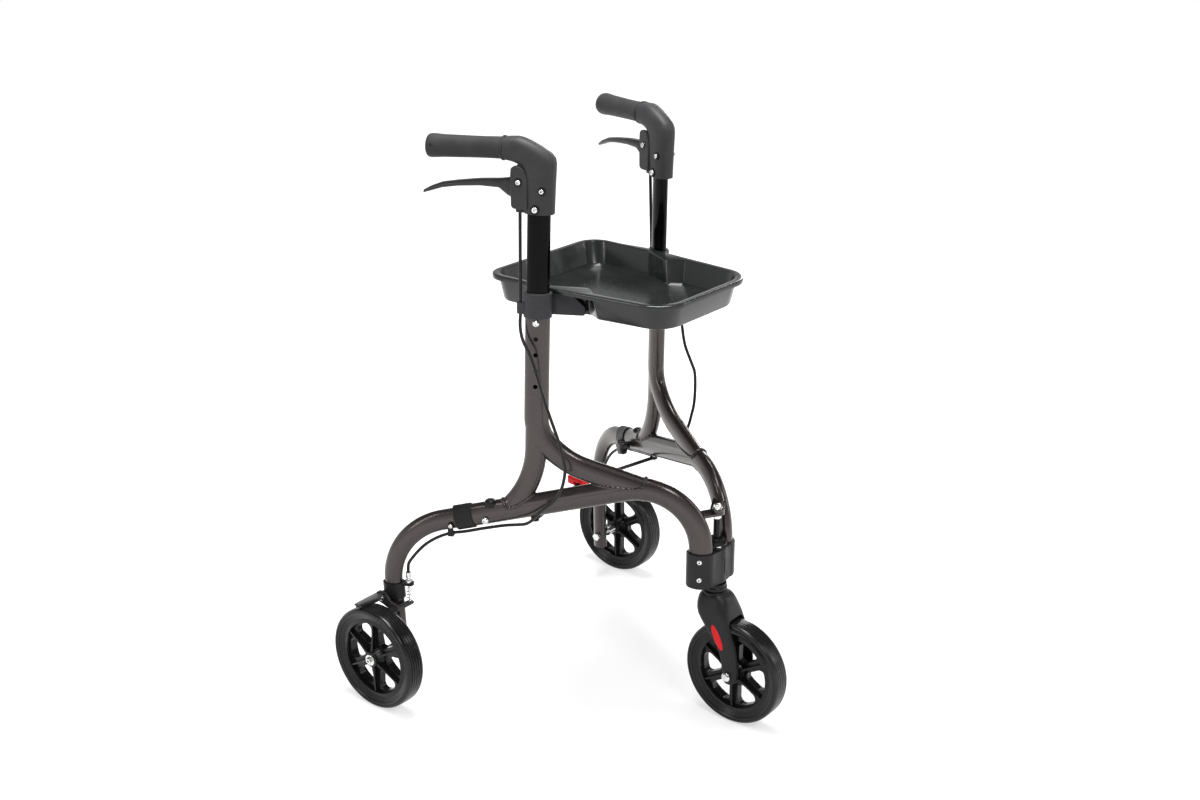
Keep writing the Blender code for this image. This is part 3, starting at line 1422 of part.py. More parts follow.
def centre_on_base(top):
    """Moves the whole model so that the middle of its base box is at the origin."""
    bpy.context.view_layer.update()
    graph = bpy.context.evaluated_depsgraph_get()
    low = np.full(3, math.inf)
    high = np.full(3, -math.inf)
    for obj in bpy.context.view_layer.objects:
        if obj.type not in ("MESH", "CURVE"):
            continue
        evaluated = obj.evaluated_get(graph)
        mesh = evaluated.to_mesh()
        points = np.empty(len(mesh.vertices) * 3, np.float32)
        mesh.vertices.foreach_get("co", points)
        world = np.array(evaluated.matrix_world)
        points = points.reshape(-1, 3) @ world[:3, :3].T + world[:3, 3]
        low = np.minimum(low, points.min(axis=0))
        high = np.maximum(high, points.max(axis=0))
        evaluated.to_mesh_clear()
    shift = -(low[1] + high[1]) / 2
    top.location = (0.0, shift, 0.0)
    bpy.context.view_layer.update()
    print("box before the shift, mm:", np.round(low * 1000, 2), np.round(high * 1000, 2))
    print(f"shift in Y, m: {shift:.6f}")
    for name, point in carrier_points.items():
        world = point * MM + Vector((0.0, shift, 0.0))
        print("carrier", name, [round(value, 6) for value in world])


build()
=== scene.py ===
import math

import bmesh
import bpy
import numpy as np
from mathutils import Matrix, Vector


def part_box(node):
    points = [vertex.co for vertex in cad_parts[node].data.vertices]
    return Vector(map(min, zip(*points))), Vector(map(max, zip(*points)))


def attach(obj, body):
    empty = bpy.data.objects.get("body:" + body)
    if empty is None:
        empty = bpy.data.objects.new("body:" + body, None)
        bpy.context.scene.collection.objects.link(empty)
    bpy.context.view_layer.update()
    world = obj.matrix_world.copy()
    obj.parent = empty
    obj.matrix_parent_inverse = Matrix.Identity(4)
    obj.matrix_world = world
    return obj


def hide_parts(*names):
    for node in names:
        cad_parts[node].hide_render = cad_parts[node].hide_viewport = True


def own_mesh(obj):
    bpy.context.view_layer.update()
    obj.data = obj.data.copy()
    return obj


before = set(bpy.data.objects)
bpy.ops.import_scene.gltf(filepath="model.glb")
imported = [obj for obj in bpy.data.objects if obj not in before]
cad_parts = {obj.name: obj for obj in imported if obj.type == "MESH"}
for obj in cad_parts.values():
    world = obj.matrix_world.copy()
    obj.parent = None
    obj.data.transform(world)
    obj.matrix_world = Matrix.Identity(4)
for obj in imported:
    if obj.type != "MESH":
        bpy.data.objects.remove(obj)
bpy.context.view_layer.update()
hinge_low, hinge_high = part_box("hinge_bolt")
SHIFT_Y = (hinge_low.y + hinge_high.y) / 2

MM = 0.001
GAP = 0.3
BEND_STEP = 3.0
OVAL_SIDES = 48
SOFT_SIDES = 96
SCREW_SIDES = 32

# Where each side frame stands.
SIDE_ANGLE = math.radians(28.43)
SIDE_OFFSET = 34.0
SIDE_SETBACK = 12.43

# Beam, from the foot of its front stub over the front bend to its rear end.
BEAM_HALF = (18.5, 12.0)
STUB_S = -5.7
STUB_FOOT_Z = 231.0
FRONT_BEND_Z = 289.5
FRONT_BEND_RADIUS = 95.0
BEAM_SLOPE = 14.2
BEAM_END_S = 364.0
BEAM_WALL = 1.3
PLUG_LENGTH = 45.0

# Upright, the front stay that goes on from it, and the rear stay.
REAR_STAY_TOP_Z = 505.0
REAR_STAY_RUN = (65.0,)
REAR_STAY_BEND = (150.0, 38.0)
FRONT_STAY_STEPS = [(60.0, -41.5), (130.0, -33.5), (98.0,)]
UPRIGHT_HALF = (19.0, 12.0)
UPRIGHT_TOP = (243.3, 684.0)
UPRIGHT_LEAN = 1.5
UPRIGHT_LENGTH = 192.5
UPRIGHT_WALL = 1.3
UPRIGHT_BORE_FOOT = 490.0
FRONT_STAY_HALF = (18.6, 11.8)
REAR_STAY_HALF = (17.0, 11.4)
HOLE_RADIUS = 3.5
HOLE_TOP_Z = 644.0
HOLE_PITCH = 25.0
HOLE_COUNT = 5

# Rear leg and what holds it.
LEG_FOOT_HALF = (14.5, 11.0)
LEG_BEND_RADIUS = 112.0
LEG_AXLE_S = 479.9
LEG_TURN = 78.3
LEG_FOOT_LENGTH = 134.0
SLEEVE_WALL = 2.0
SLEEVE_REACH = (14.0, 15.0)
SLEEVE_SIDES = 240
SLEEVE_RIBS = 30
LEG_BOLT = (329.0, 319.0)

# Column, front brackets and the welded ears above them.
COLUMN_RADIUS = 13.0
COLUMN_FOOT_Z = 214.5
ROD_RADIUS = 5.5
BOLT_RADIUS = 4.0
HOLE_PLAY = 0.3
KNUCKLE_WALL = 3.4
BRACKET_Z = (228.0, 286.0)
KNUCKLE_HEIGHT = 15.0
EAR_Z = {-1: 342.0, 1: 346.5}
EAR_THICK = 4.0
EAR_HALF_WIDTH = 11.0

# Wheels.
WHEEL_RADIUS = 85.0
SEAT_RADIUS = 75.0
TYRE_HALF_WIDTH = 16.6
WHEEL_STEPS = 144
TREAD_GROOVES = (9.6, 4.8, 0.0, -4.8, -9.6)
REAR_WHEEL = (314.7, 430.0)
LEG_OUTSIDE_X = 275.6
CASTER_TURN = math.radians(0.5)
CASTER_TRAIL = 43.5
SPOKES = 6
HUB_HALF = 18.0
WEB_HALF = 5.5

# Fork of the front wheel.
FORK_INSIDE = 20.5
FORK_OUTSIDE = 27.5
FORK_TOP_Z = 214.0
FORK_GAP_TOP_Z = 175.5
STEM_RADIUS = 8.0
STEM_FOOT_Z = 184.3
STEM_TOP_Z = 272.0
FORK_STATIONS = [(71.6, 41.0, 50.0, 26.5), (73.2, 36.5, 54.5, 27.3), (76.0, 33.6, 57.8, 27.5),
    (80.0, 32.2, 59.6, 27.5), (88.0, 31.7, 60.6, 27.5), (98.0, 31.3, 60.6, 27.5), (109.0, 28.6, 59.9, 27.5),
    (120.0, 24.6, 58.0, 27.5), (131.0, 18.8, 55.6, 27.5), (142.0, 10.6, 52.2, 27.5), (152.0, 2.0, 48.4, 27.5),
    (161.0, -5.8, 44.8, 27.5), (170.0, -12.6, 41.2, 27.5), (178.0, -17.6, 38.2, 27.4),
    (186.0, -21.2, 35.6, 27.0), (194.0, -22.8, 33.2, 25.8), (201.0, -22.8, 31.0, 23.8),
    (206.0, -21.4, 28.6, 21.6), (210.0, -18.0, 25.0, 19.0), (213.0, -12.5, 19.0, 15.0)]
INLAY_CENTRE = (-23.6, 146.6)
INLAY_HALF = (21.6, 6.3)
INLAY_TURN = 63.7
INLAY_DEPTH = 1.5

# Clamp hooks and the tray that hangs on them.
CLAMP_Z = (651.0, 689.0)
CLAMP_HALF = (21.4, 15.2)
ARM_LATERAL = (-17.6, -13.6)
TRAY_RIM_TOP = 692.2
TRAY_FLOOR_Z = 650.0
TRAY_WALL = 3.0
RIM_THICK = 2.8
RIM_DEPTH = 7.2
DIMPLE_PITCH = (18.0, 22.0)
FOLD_ROOM = 3.2

# Handles, drawn as (lateral, rearward, up) in a plane turned in from the side plane.
HANDLE_TOE = math.radians(8.5)
HANDLE_S = 239.5
HOUSING_FOOT_Z = 808.0
HOUSING_LAP = 20.0
TUBE_FOOT_Z = 600.0
CABLE_SEAT_U = 30.0
ELBOW_STATIONS = [((22.5, 808.0), (-22.8, 808.0), 14.5), ((23.0, 830.0), (-23.8, 830.0), 15.0),
    ((23.8, 850.0), (-25.2, 856.0), 15.4), ((24.5, 862.0), (-26.3, 873.0), 15.6),
    ((25.3, 869.0), (-26.6, 882.5), 15.7), ((26.7, 873.6), (-25.2, 889.5), 15.8),
    ((28.7, 876.8), (-19.7, 896.4), 15.9), ((32.0, 879.2), (-4.7, 905.1), 16.1),
    ((36.0, 880.6), (10.3, 912.4), 16.3), ((40.0, 881.6), (23.0, 917.0), 16.4),
    ((43.5, 882.3), (31.5, 918.2), 16.5), ((47.0, 883.0), (43.0, 917.4), 16.6),
    ((50.0, 883.4), (50.0, 916.6), 16.6)]
GRIP_START = (50.0, 900.0)
GRIP_END = (170.0, 896.0)
CORE_END = 156.0
GRIP_RADIUS = 16.5
CORE_RADIUS = 11.0
LEVER_PIVOT = (26.0, 854.6)
LEVER_PIN_RADIUS = 2.6
LUG_INSIDE = 10.0
LUG_OUTSIDE = 16.4

# Brakes.
BRAKE_PIVOT = (448.0, 171.0)
BRAKE_PLATE_X = (279.8, 283.8)
SHOE_GAP = 2.0
SHOE_THICK = 4.4
SHOE_ARC = (6.5, 21.5)
SHOE_HALF_WIDTH = 14.8
WIRE_S = 460.2
BRAKE_PIN_HOLE = 3.2
BRAKE_PIN_RADIUS = 2.95
BRACKET_BAND_Z = (169.0, 195.0)
SPRING_Z = (160.8, 190.6)
SPRING_RADIUS = 3.6
SPRING_WIRE = 0.65
SPRING_CURLS = 5
ADJUSTER_TOP_Z = 213.0
CABLE_RADIUS = 2.5
CABLE_CLIP = (270.0, 655.0, 672.0)

# Fold brace under the beams.
BRACE_S = 252.6
BRACE_THICK = 1.6
BRACE_Z = {-1: 320.8, 1: 320.8 + BRACE_THICK + GAP}
BRACE_HALF_WIDTH = 4.6
BRACE_MIDDLE_Y = 268.0
RELEASE_FOOT_Z = 319.6


def mesh_of(points, faces):
    """A closed mesh in metres with its faces turned outwards."""
    mesh = bpy.data.meshes.new("shape")
    mesh.from_pydata((np.asarray(points) * MM).tolist(), [], faces)
    outward(mesh)
    return mesh


def outward(mesh):
    shape = bmesh.new()
    shape.from_mesh(mesh)
    bmesh.ops.recalc_face_normals(shape, faces=shape.faces)
    shape.to_mesh(mesh)
    shape.free()


def loft(loops, ring=False):
    """Walls between loops of equal length. A ring joins its last loop to its first, else both are capped."""
    loops = [np.asarray(loop, float) for loop in loops]
    count = len(loops[0])
    faces = []
    for i in range(len(loops) if ring else len(loops) - 1):
        near = i * count
        far = (i + 1) % len(loops) * count
        for j in range(count):
            k = (j + 1) % count
            faces.append((near + j, near + k, far + k, far + j))
    if not ring:
        faces.append(tuple(range(count)))
        faces.append(tuple(range((len(loops) - 1) * count, len(loops) * count)))
    return mesh_of(np.concatenate(loops), faces)


def moved(mesh, matrix):
    """The mesh placed by a matrix whose shift is in millimetres."""
    placed = mesh.copy()
    matrix = matrix.copy()
    matrix.translation = matrix.translation * MM
    placed.transform(matrix)
    if matrix.determinant() < 0:
        placed.flip_normals()
    return placed


def boolean(operation, base, tools):
    """The base joined with, or cut by, each tool in turn."""
    scene = bpy.context.scene.collection
    carrier = bpy.data.objects.new("carrier", base)
    helpers = [carrier]
    scene.objects.link(carrier)
    for tool in tools:
        helper = bpy.data.objects.new("helper", tool)
        scene.objects.link(helper)
        helpers.append(helper)
        step = carrier.modifiers.new("step", "BOOLEAN")
        step.operation = operation
        step.solver = "EXACT"
        step.object = helper
    graph = bpy.context.evaluated_depsgraph_get()
    result = bpy.data.meshes.new_from_object(carrier.evaluated_get(graph))
    for helper in helpers:
        bpy.data.objects.remove(helper, do_unlink=True)
    return result


def joined(base, *tools):
    return boolean("UNION", base, tools)


def cut(base, *tools):
    return boolean("DIFFERENCE", base, tools)


def oval(half_a, half_b, count=OVAL_SIDES):
    turns = np.arange(count) * 2 * math.pi / count
    return np.stack([half_a * np.cos(turns), half_b * np.sin(turns)], axis=1)


def circle(radius, count):
    return oval(radius, radius, count)


def lathe(profile, steps, axis="Z", centre=(0.0, 0.0, 0.0), ring=False):
    """Turns (radius, height) points round an axis. A ring profile is closed and leaves a bore."""
    loops = []
    for radius, height in profile:
        turn = circle(radius, steps)
        level = np.full(len(turn), height)
        if axis == "Z":
            loop = np.stack([turn[:, 0], turn[:, 1], level], axis=1)
        else:
            loop = np.stack([level, turn[:, 0], turn[:, 1]], axis=1)
        loops.append(loop + np.array(centre))
    return loft(loops, ring)


def rod(radius, start, end, steps=32):
    """A round bar between two points."""
    start = np.array(start, float)
    end = np.array(end, float)
    along = Vector(end - start).normalized()
    across = along.orthogonal().normalized()
    other = along.cross(across)
    turn = circle(radius, steps)
    offsets = turn[:, :1] * np.array(across) + turn[:, 1:] * np.array(other)
    return loft([start + offsets, end + offsets])


def at_level(plan, level):
    return np.column_stack([plan, np.full(len(plan), level)])


def prism(plan, *levels):
    """A plan (x, y) raised through its levels."""
    return loft([at_level(plan, level) for level in levels])


def box(low, high):
    plan = np.array([(low[0], low[1]), (high[0], low[1]), (high[0], high[1]), (low[0], high[1])])
    return prism(plan, low[2], high[2])


def signed_area(corners):
    """The outline's area, below zero when it runs clockwise."""
    total = 0.0
    for i, (x, y, _) in enumerate(corners):
        before = corners[i - 1]
        total += before[0] * y - x * before[1]
    return total / 2


def rounded(corners, inset=0.0, steps=8):
    """A closed outline (x, y, radius) with round corners, moved inwards by the inset."""
    inwards = math.copysign(inset, signed_area(corners))
    points = []
    for i, (x, y, radius) in enumerate(corners):
        here = np.array([x, y])
        before = here - np.array(corners[i - 1][:2])
        after = np.array(corners[(i + 1) % len(corners)][:2]) - here
        before = before / np.linalg.norm(before)
        after = after / np.linalg.norm(after)
        turn = math.atan2(before[0] * after[1] - before[1] * after[0], before @ after)
        side = 1.0 if turn > 0 else -1.0
        bisector = (after - before) / np.linalg.norm(after - before)
        centre = here + bisector * radius / math.cos(turn / 2)
        reach = side * (radius - side * inwards)
        start = math.atan2(-before[0], before[1])
        for k in range(steps + 1):
            angle = start + turn * k / steps
            points.append(centre + reach * np.array([math.cos(angle), math.sin(angle)]))
    return np.array(points)


def slab(corners, low, high, axis="Z", edge=0.0, steps=8):
    """A rounded outline made thick along an axis, with its edges broken by edge millimetres."""
    levels = [(low, 0.0), (high, 0.0)]
    if edge:
        levels = [(low, edge), (low + edge, 0.0), (high - edge, 0.0), (high, edge)]
    loops = []
    for level, inset in levels:
        plan = rounded(corners, inset, steps)
        depth = np.full(len(plan), level)
        columns = [plan[:, 0], plan[:, 1]]
        columns.insert("XYZ".index(axis), depth)
        loops.append(np.column_stack(columns))
    return loft(loops)


def route(start, heading, steps):
    """Stations (s, z, heading) along straight runs (length,) and bends (radius, degrees)."""
    s, z = start
    angle = math.radians(heading)
    stations = [(s, z, angle)]
    for step in steps:
        pieces = 1
        turn = 0.0
        length = step[0]
        if len(step) == 2:
            pieces = max(2, round(abs(step[1]) / BEND_STEP))
            turn = math.radians(step[1]) / pieces
            length = 2 * step[0] * math.sin(abs(turn) / 2)
        for _ in range(pieces):
            s += length * math.cos(angle + turn / 2)
            z += length * math.sin(angle + turn / 2)
            angle += turn
            stations.append((s, z, angle))
    return stations


def across(station, section):
    """The section (in plane, lateral) standing square to the route at a station."""
    s, z, heading = station
    in_plane = section[:, 0]
    return np.stack([section[:, 1], s - in_plane * math.sin(heading), z + in_plane * math.cos(heading)],
        axis=1)


def tube(stations, halves, count=OVAL_SIDES):
    """An oval bar along a route. Its half-sizes go evenly from the first pair to the last."""
    first = np.array(halves[0])
    last = np.array(halves[-1])
    loops = []
    for i, station in enumerate(stations):
        share = i / (len(stations) - 1)
        size = first + (last - first) * share
        loops.append(across(station, oval(size[0], size[1], count)))
    return loft(loops)


def grown(half, more):
    return (half[0] + more, half[1] + more)


def side_matrix(side):
    """From (lateral, rearward, up) in a side plane to the drawing frame."""
    sine = math.sin(SIDE_ANGLE)
    cosine = math.cos(SIDE_ANGLE)
    return Matrix(((side * cosine, side * sine, 0.0, side * SIDE_OFFSET), (-sine, cosine, 0.0, SIDE_SETBACK),
        (0.0, 0.0, 1.0, 0.0), (0.0, 0.0, 0.0, 1.0)))


def handle_matrix(side):
    """From (lateral, rearward, up) in a handle's plane to the drawing frame."""
    turn = Matrix.Rotation(HANDLE_TOE, 4, "Z")
    turn.translation = Vector((0.0, HANDLE_S, 0.0))
    return side_matrix(side) @ turn


def mirror_matrix(side):
    return Matrix.Diagonal((side, 1.0, 1.0, 1.0))


def level_loop(half, s, z, count=OVAL_SIDES):
    """A level oval of a side plane round a point of it."""
    section = oval(half[0], half[1], count)
    return at_level(np.column_stack([section[:, 1], s + section[:, 0]]), z)


def side_point(side, lateral, s, z):
    return side_matrix(side) @ Vector((lateral, s, z))


def smooth_route(knots, spacing):
    """Points at an even spacing on the smooth curve through the knots."""
    knots = np.array(knots, float)
    ends = np.vstack([2 * knots[0] - knots[1], knots, 2 * knots[-1] - knots[-2]])
    fine = []
    for i in range(1, len(ends) - 2):
        a, b, c, d = ends[i - 1 : i + 3]
        for t in np.linspace(0, 1, 24, endpoint=False):
            fine.append(
                0.5
                * (
                    2 * b
                    + (c - a) * t
                    + (2 * a - 5 * b + 4 * c - d) * t**2
                    + (3 * b - 3 * c + d - a) * t**3
                )
            )
    fine = np.array(fine + [knots[-1]])
    length = np.concatenate([[0], np.cumsum(np.linalg.norm(np.diff(fine, axis=0), axis=1))])
    wanted = np.linspace(0, length[-1], max(2, round(length[-1] / spacing) + 1))
    return np.column_stack([np.interp(wanted, length, fine[:, k]) for k in range(3)])


# Routes of the welded frame.


def beam_route():
    slope = math.radians(BEAM_SLOPE)
    bend_end = STUB_S + FRONT_BEND_RADIUS * (1 + math.sin(slope))
    run = (BEAM_END_S - bend_end) / math.cos(slope)
    steps = [(FRONT_BEND_Z - STUB_FOOT_Z,), (FRONT_BEND_RADIUS, -90.0 - BEAM_SLOPE), (run,)]
    return route((STUB_S, STUB_FOOT_Z), 90.0, steps)


def beam_centre_z(s):
    end = beam_route()[-1]
    return end[1] + (end[0] - s) * math.tan(math.radians(BEAM_SLOPE))


def leg_straight():
    """The straight run behind the beam that brings the leg's foot to the axle after its bend."""
    slope = math.radians(BEAM_SLOPE)
    foot_heading = slope + math.radians(LEG_TURN)
    reach = LEG_BEND_RADIUS * (math.sin(foot_heading) - math.sin(slope))
    drop = LEG_BEND_RADIUS * (math.cos(slope) - math.cos(foot_heading))
    lean = -1 / math.tan(foot_heading)
    height = beam_centre_z(BEAM_END_S) - drop - WHEEL_RADIUS
    return (LEG_AXLE_S - BEAM_END_S - reach + height * lean) / (1 + lean * math.tan(slope))


def leg_route():
    start_s = BEAM_END_S - PLUG_LENGTH
    run = (PLUG_LENGTH + leg_straight()) / math.cos(math.radians(BEAM_SLOPE))
    steps = [(run,), (LEG_BEND_RADIUS, -LEG_TURN), (LEG_FOOT_LENGTH,)]
    return route((start_s, beam_centre_z(start_s)), -BEAM_SLOPE, steps)


def leg_centre_s(z):
    """Where the straight foot of the leg stands at a height."""
    knee, foot = leg_route()[-2:]
    share = (knee[1] - z) / (knee[1] - foot[1])
    return knee[0] + (foot[0] - knee[0]) * share


def upright_route(low, high):
    """The upright's straight axis between two heights, drawn upwards."""
    lean = math.radians(UPRIGHT_LEAN)
    stations = []
    for z in (low, high):
        stations.append((upright_s(z), z, math.pi / 2 + lean))
    return stations


def upright_s(z):
    return UPRIGHT_TOP[0] + (UPRIGHT_TOP[1] - z) * math.tan(math.radians(UPRIGHT_LEAN))


def rear_stay_route():
    """Down the upright's line, then back and down to the middle of the beam."""
    start = (upright_s(REAR_STAY_TOP_Z), REAR_STAY_TOP_Z)
    steps = [REAR_STAY_RUN, REAR_STAY_BEND]
    s, z, heading = route(start, UPRIGHT_LEAN - 90.0, steps)[-1]
    closing = -math.sin(heading) - math.cos(heading) * math.tan(math.radians(BEAM_SLOPE))
    last = (z - beam_centre_z(s)) / closing
    return route(start, UPRIGHT_LEAN - 90.0, [*steps, (last,)])


def front_stay_route():
    """The upright with the bends that bring it forwards into the beam."""
    return route(UPRIGHT_TOP, UPRIGHT_LEAN - 90.0, [(UPRIGHT_LENGTH,), *FRONT_STAY_STEPS])


def hole_heights():
    return [HOLE_TOP_Z - HOLE_PITCH * i for i in range(HOLE_COUNT)]


def side_frame(side):
    """The beam, upright, stays and ear, welded into one and bored for what plugs into them."""
    beam = tube(beam_route(), [BEAM_HALF])
    front = tube(front_stay_route(), [UPRIGHT_HALF, FRONT_STAY_HALF])
    rear = tube(rear_stay_route(), [REAR_STAY_HALF])
    body = moved(joined(beam, front, rear), side_matrix(side))
    ear_end = side_point(side, 0.0, 11.0, 0.0)
    body = joined(body, ear_plate(ear_end, EAR_Z[side]))
    matrix = side_matrix(side)
    leg_bore = route((BEAM_END_S + 5.0, beam_centre_z(BEAM_END_S + 5.0)), 180.0 - BEAM_SLOPE,
        [((PLUG_LENGTH + 7.0) / math.cos(math.radians(BEAM_SLOPE)),)])
    cutters = [moved(tube(leg_bore, [grown(BEAM_HALF, -BEAM_WALL)], OVAL_SIDES), matrix),
        moved(tube(upright_route(UPRIGHT_BORE_FOOT, 700.0), [grown(UPRIGHT_HALF, -UPRIGHT_WALL)]), matrix),
        moved(rod(HOLE_RADIUS, (3.0, *LEG_BOLT), (16.0, *LEG_BOLT)), matrix),
        rod(BOLT_RADIUS + HOLE_PLAY, (0.0, 0.0, 330.0), (0.0, 0.0, 360.0)),
        moved(rod(HOLE_RADIUS, (0.0, BRACE_S, 300.0), (0.0, BRACE_S, 338.0)), matrix)]
    for z in hole_heights():
        start = (4.0, upright_s(z), z)
        cutters.append(moved(rod(HOLE_RADIUS, start, (16.0, start[1], z)), matrix))
    return cut(body, *cutters)


def ear_plate(end, low):
    """A round-ended plate from the hinge bolt to a beam."""
    along = Vector((end[0], end[1])).normalized()
    normal = Vector((-along[1], along[0]))
    plan = []
    for k in range(33):
        angle = math.pi / 2 + math.pi * k / 32
        reach = along * math.cos(angle) + normal * math.sin(angle)
        plan.append(reach * EAR_HALF_WIDTH)
    for offset in (-EAR_HALF_WIDTH + 1.0, EAR_HALF_WIDTH - 1.0):
        plan.append(Vector((end[0], end[1])) + normal * offset)
    plan = np.array([tuple(point) for point in plan])
    return prism(plan, low, low + EAR_THICK)


def rear_leg(side):
    """The bent leg, bored for its bolt and the wheel's axle."""
    stations = leg_route()
    plug = grown(BEAM_HALF, -BEAM_WALL - GAP)
    loops = []
    for i, station in enumerate(stations):
        share = min(1.0, max(0.0, (i - 1) / (len(stations) - 3)))
        size = np.array(plug) + (np.array(LEG_FOOT_HALF) - np.array(plug)) * share
        loops.append(across(station, oval(size[0], size[1], OVAL_SIDES)))
    leg = moved(loft(loops), side_matrix(side))
    axle_hole = rod(BOLT_RADIUS + HOLE_PLAY, (side * 230.0, REAR_WHEEL[1], WHEEL_RADIUS),
        (side * 290.0, REAR_WHEEL[1], WHEEL_RADIUS))
    bolt_hole = moved(rod(HOLE_RADIUS, (-4.0, *LEG_BOLT), (16.0, *LEG_BOLT)), side_matrix(side))
    return cut(leg, axle_hole, bolt_hole)


def leg_sleeve(side):
    """The ribbed collar where the leg leaves the beam, stepped inside over the beam's end."""
    low = BEAM_END_S - SLEEVE_REACH[0]
    high = BEAM_END_S + SLEEVE_REACH[1]
    step = BEAM_END_S + GAP
    outer = grown(BEAM_HALF, SLEEVE_WALL)
    over_beam = grown(BEAM_HALF, GAP)
    over_leg = grown(BEAM_HALF, -BEAM_WALL)
    profile = [(low, grown(outer, -0.8), 0.0), (low + 0.8, outer, 0.0), (low + 2.0, outer, 0.5),
        (high - 3.0, outer, 0.5), (high - 1.5, outer, 0.0), (high, grown(outer, -1.0), 0.0),
        (high, over_leg, 0.0), (step, over_leg, 0.0), (step, over_beam, 0.0), (low, over_beam, 0.0)]
    turns = np.arange(SLEEVE_SIDES) * 2 * math.pi / SLEEVE_SIDES
    ribs = np.abs(np.sin(turns * SLEEVE_RIBS / 2))[:, None] ** 0.5
    loops = []
    for s, half, depth in profile:
        station = (s, beam_centre_z(s), -math.radians(BEAM_SLOPE))
        section = oval(half[0], half[1], SLEEVE_SIDES)
        loops.append(across(station, section * (1 - depth / half[1] * (1 - ribs))))
    return moved(loft(loops, ring=True), side_matrix(side))


def cap_screw(side, foot, head_start, radius, head_radius, head_height):
    """A screw along the lateral direction of a side, its domed head outermost."""
    lateral, s, z = foot
    profile = [(radius, lateral), (radius, head_start), (head_radius, head_start),
        (head_radius, head_start + head_height * 0.55), (head_radius * 0.72, head_start + head_height)]
    return moved(lathe(profile, SCREW_SIDES, "X", (0.0, s, z)), side_matrix(side))


def hexagon(flats, low, high, centre=(0.0, 0.0)):
    radius = flats / math.sqrt(3)
    plan = circle(radius, 6) + np.array(centre)
    return prism(plan, low, high)


def column_tube():
    profile = [(STEM_RADIUS + HOLE_PLAY, STEM_TOP_Z + 3.0), (STEM_RADIUS + HOLE_PLAY, COLUMN_FOOT_Z),
        (COLUMN_RADIUS - 0.8, COLUMN_FOOT_Z), (COLUMN_RADIUS, COLUMN_FOOT_Z + 0.8),
        (COLUMN_RADIUS, BRACKET_Z[1] + 0.5), (17.0, BRACKET_Z[1] + 0.5), (17.0, BRACKET_Z[1] + 3.0),
        (COLUMN_RADIUS, BRACKET_Z[1] + 3.0), (COLUMN_RADIUS, BRACKET_Z[1] + 7.0), (16.5, BRACKET_Z[1] + 7.0),
        (16.5, BRACKET_Z[1] + 10.0), (ROD_RADIUS + 5.0, BRACKET_Z[1] + 13.0),
        (ROD_RADIUS, BRACKET_Z[1] + 14.0), (ROD_RADIUS, 333.8), (BOLT_RADIUS + HOLE_PLAY, 333.8),
        (BOLT_RADIUS + HOLE_PLAY, 308.0)]
    return lathe(profile, 48)


def hinge_bolt():
    """The bolt through both ears with its nut below them."""
    top = EAR_Z[1] + EAR_THICK + GAP
    shank = rod(BOLT_RADIUS, (0.0, 0.0, 309.0), (0.0, 0.0, top + 2.0))
    nut = hexagon(11.5, EAR_Z[-1] - GAP - 7.0, EAR_Z[-1] - GAP)
    washer = lathe([(8.0, top), (8.0, top + 1.5)], 48)
    head = lathe([(5.9, top + 1.2), (5.9, top + 5.4), (4.9, top + 6.8), (2.6, top + 7.4)], 6)
    return joined(shank, nut, washer, head)


def front_bracket(side):
    """A moulded bracket: a cup for the beam's stub and a knuckle that turns round the column."""
    matrix = side_matrix(side)
    low, high = BRACKET_Z
    cup_half = grown(BEAM_HALF, GAP + KNUCKLE_WALL)
    knuckle_radius = COLUMN_RADIUS + HOLE_PLAY + KNUCKLE_WALL
    levels = [(low, 3.0), (low + 1.2, 1.0), (low + 3.5, 0.0), (high, 0.0)]
    cup_loops = []
    web_loops = []
    for z, inset in levels:
        cup_loops.append(level_loop(grown(cup_half, -inset), STUB_S, z, 64))
    cup = moved(loft(cup_loops), matrix)
    stub = side_point(side, 0.0, STUB_S, 0.0)
    along = np.array([stub[0], stub[1]]) / math.hypot(stub[0], stub[1])
    normal = np.array([-along[1], along[0]])
    ends = np.array([stub[0], stub[1]])
    for z, inset in levels:
        web = [normal * (knuckle_radius - 0.4 - inset), -normal * (knuckle_radius - 0.4 - inset),
            ends - normal * (18.6 - inset), ends + normal * (18.6 - inset)]
        web_loops.append(at_level(np.array(web), z))
    knuckle = lathe([(knuckle_radius - inset, z) for z, inset in levels], 64)
    body = joined(cup, loft(web_loops), knuckle)
    pocket = across((STUB_S, STUB_FOOT_Z - GAP, math.pi / 2), oval(*grown(BEAM_HALF, GAP)))
    pocket_top = across((STUB_S, high + 5.0, math.pi / 2), oval(*grown(BEAM_HALF, GAP)))
    lower_top = low + KNUCKLE_HEIGHT + 3.5
    upper_foot = high - KNUCKLE_HEIGHT
    other_radius = knuckle_radius + GAP
    if side < 0:
        half_shell = box((-1.0, -40.0, lower_top), (40.0, 40.0, high + 10.0))
        other_knuckle = lathe([(other_radius, upper_foot - GAP), (other_radius, high + 10.0)], 64)
    else:
        half_shell = box((-40.0, -40.0, low - 10.0), (1.0, 40.0, upper_foot))
        other_knuckle = lathe([(other_radius, low - 10.0), (other_radius, lower_top + GAP)], 64)
    bore = lathe([(COLUMN_RADIUS + HOLE_PLAY, low - 10.0), (COLUMN_RADIUS + HOLE_PLAY, high + 10.0)], 64)
    return cut(body, moved(loft([pocket, pocket_top]), matrix), half_shell, other_knuckle, bore)


def caster_matrix():
    return Matrix.Rotation(CASTER_TURN, 4, "Z")


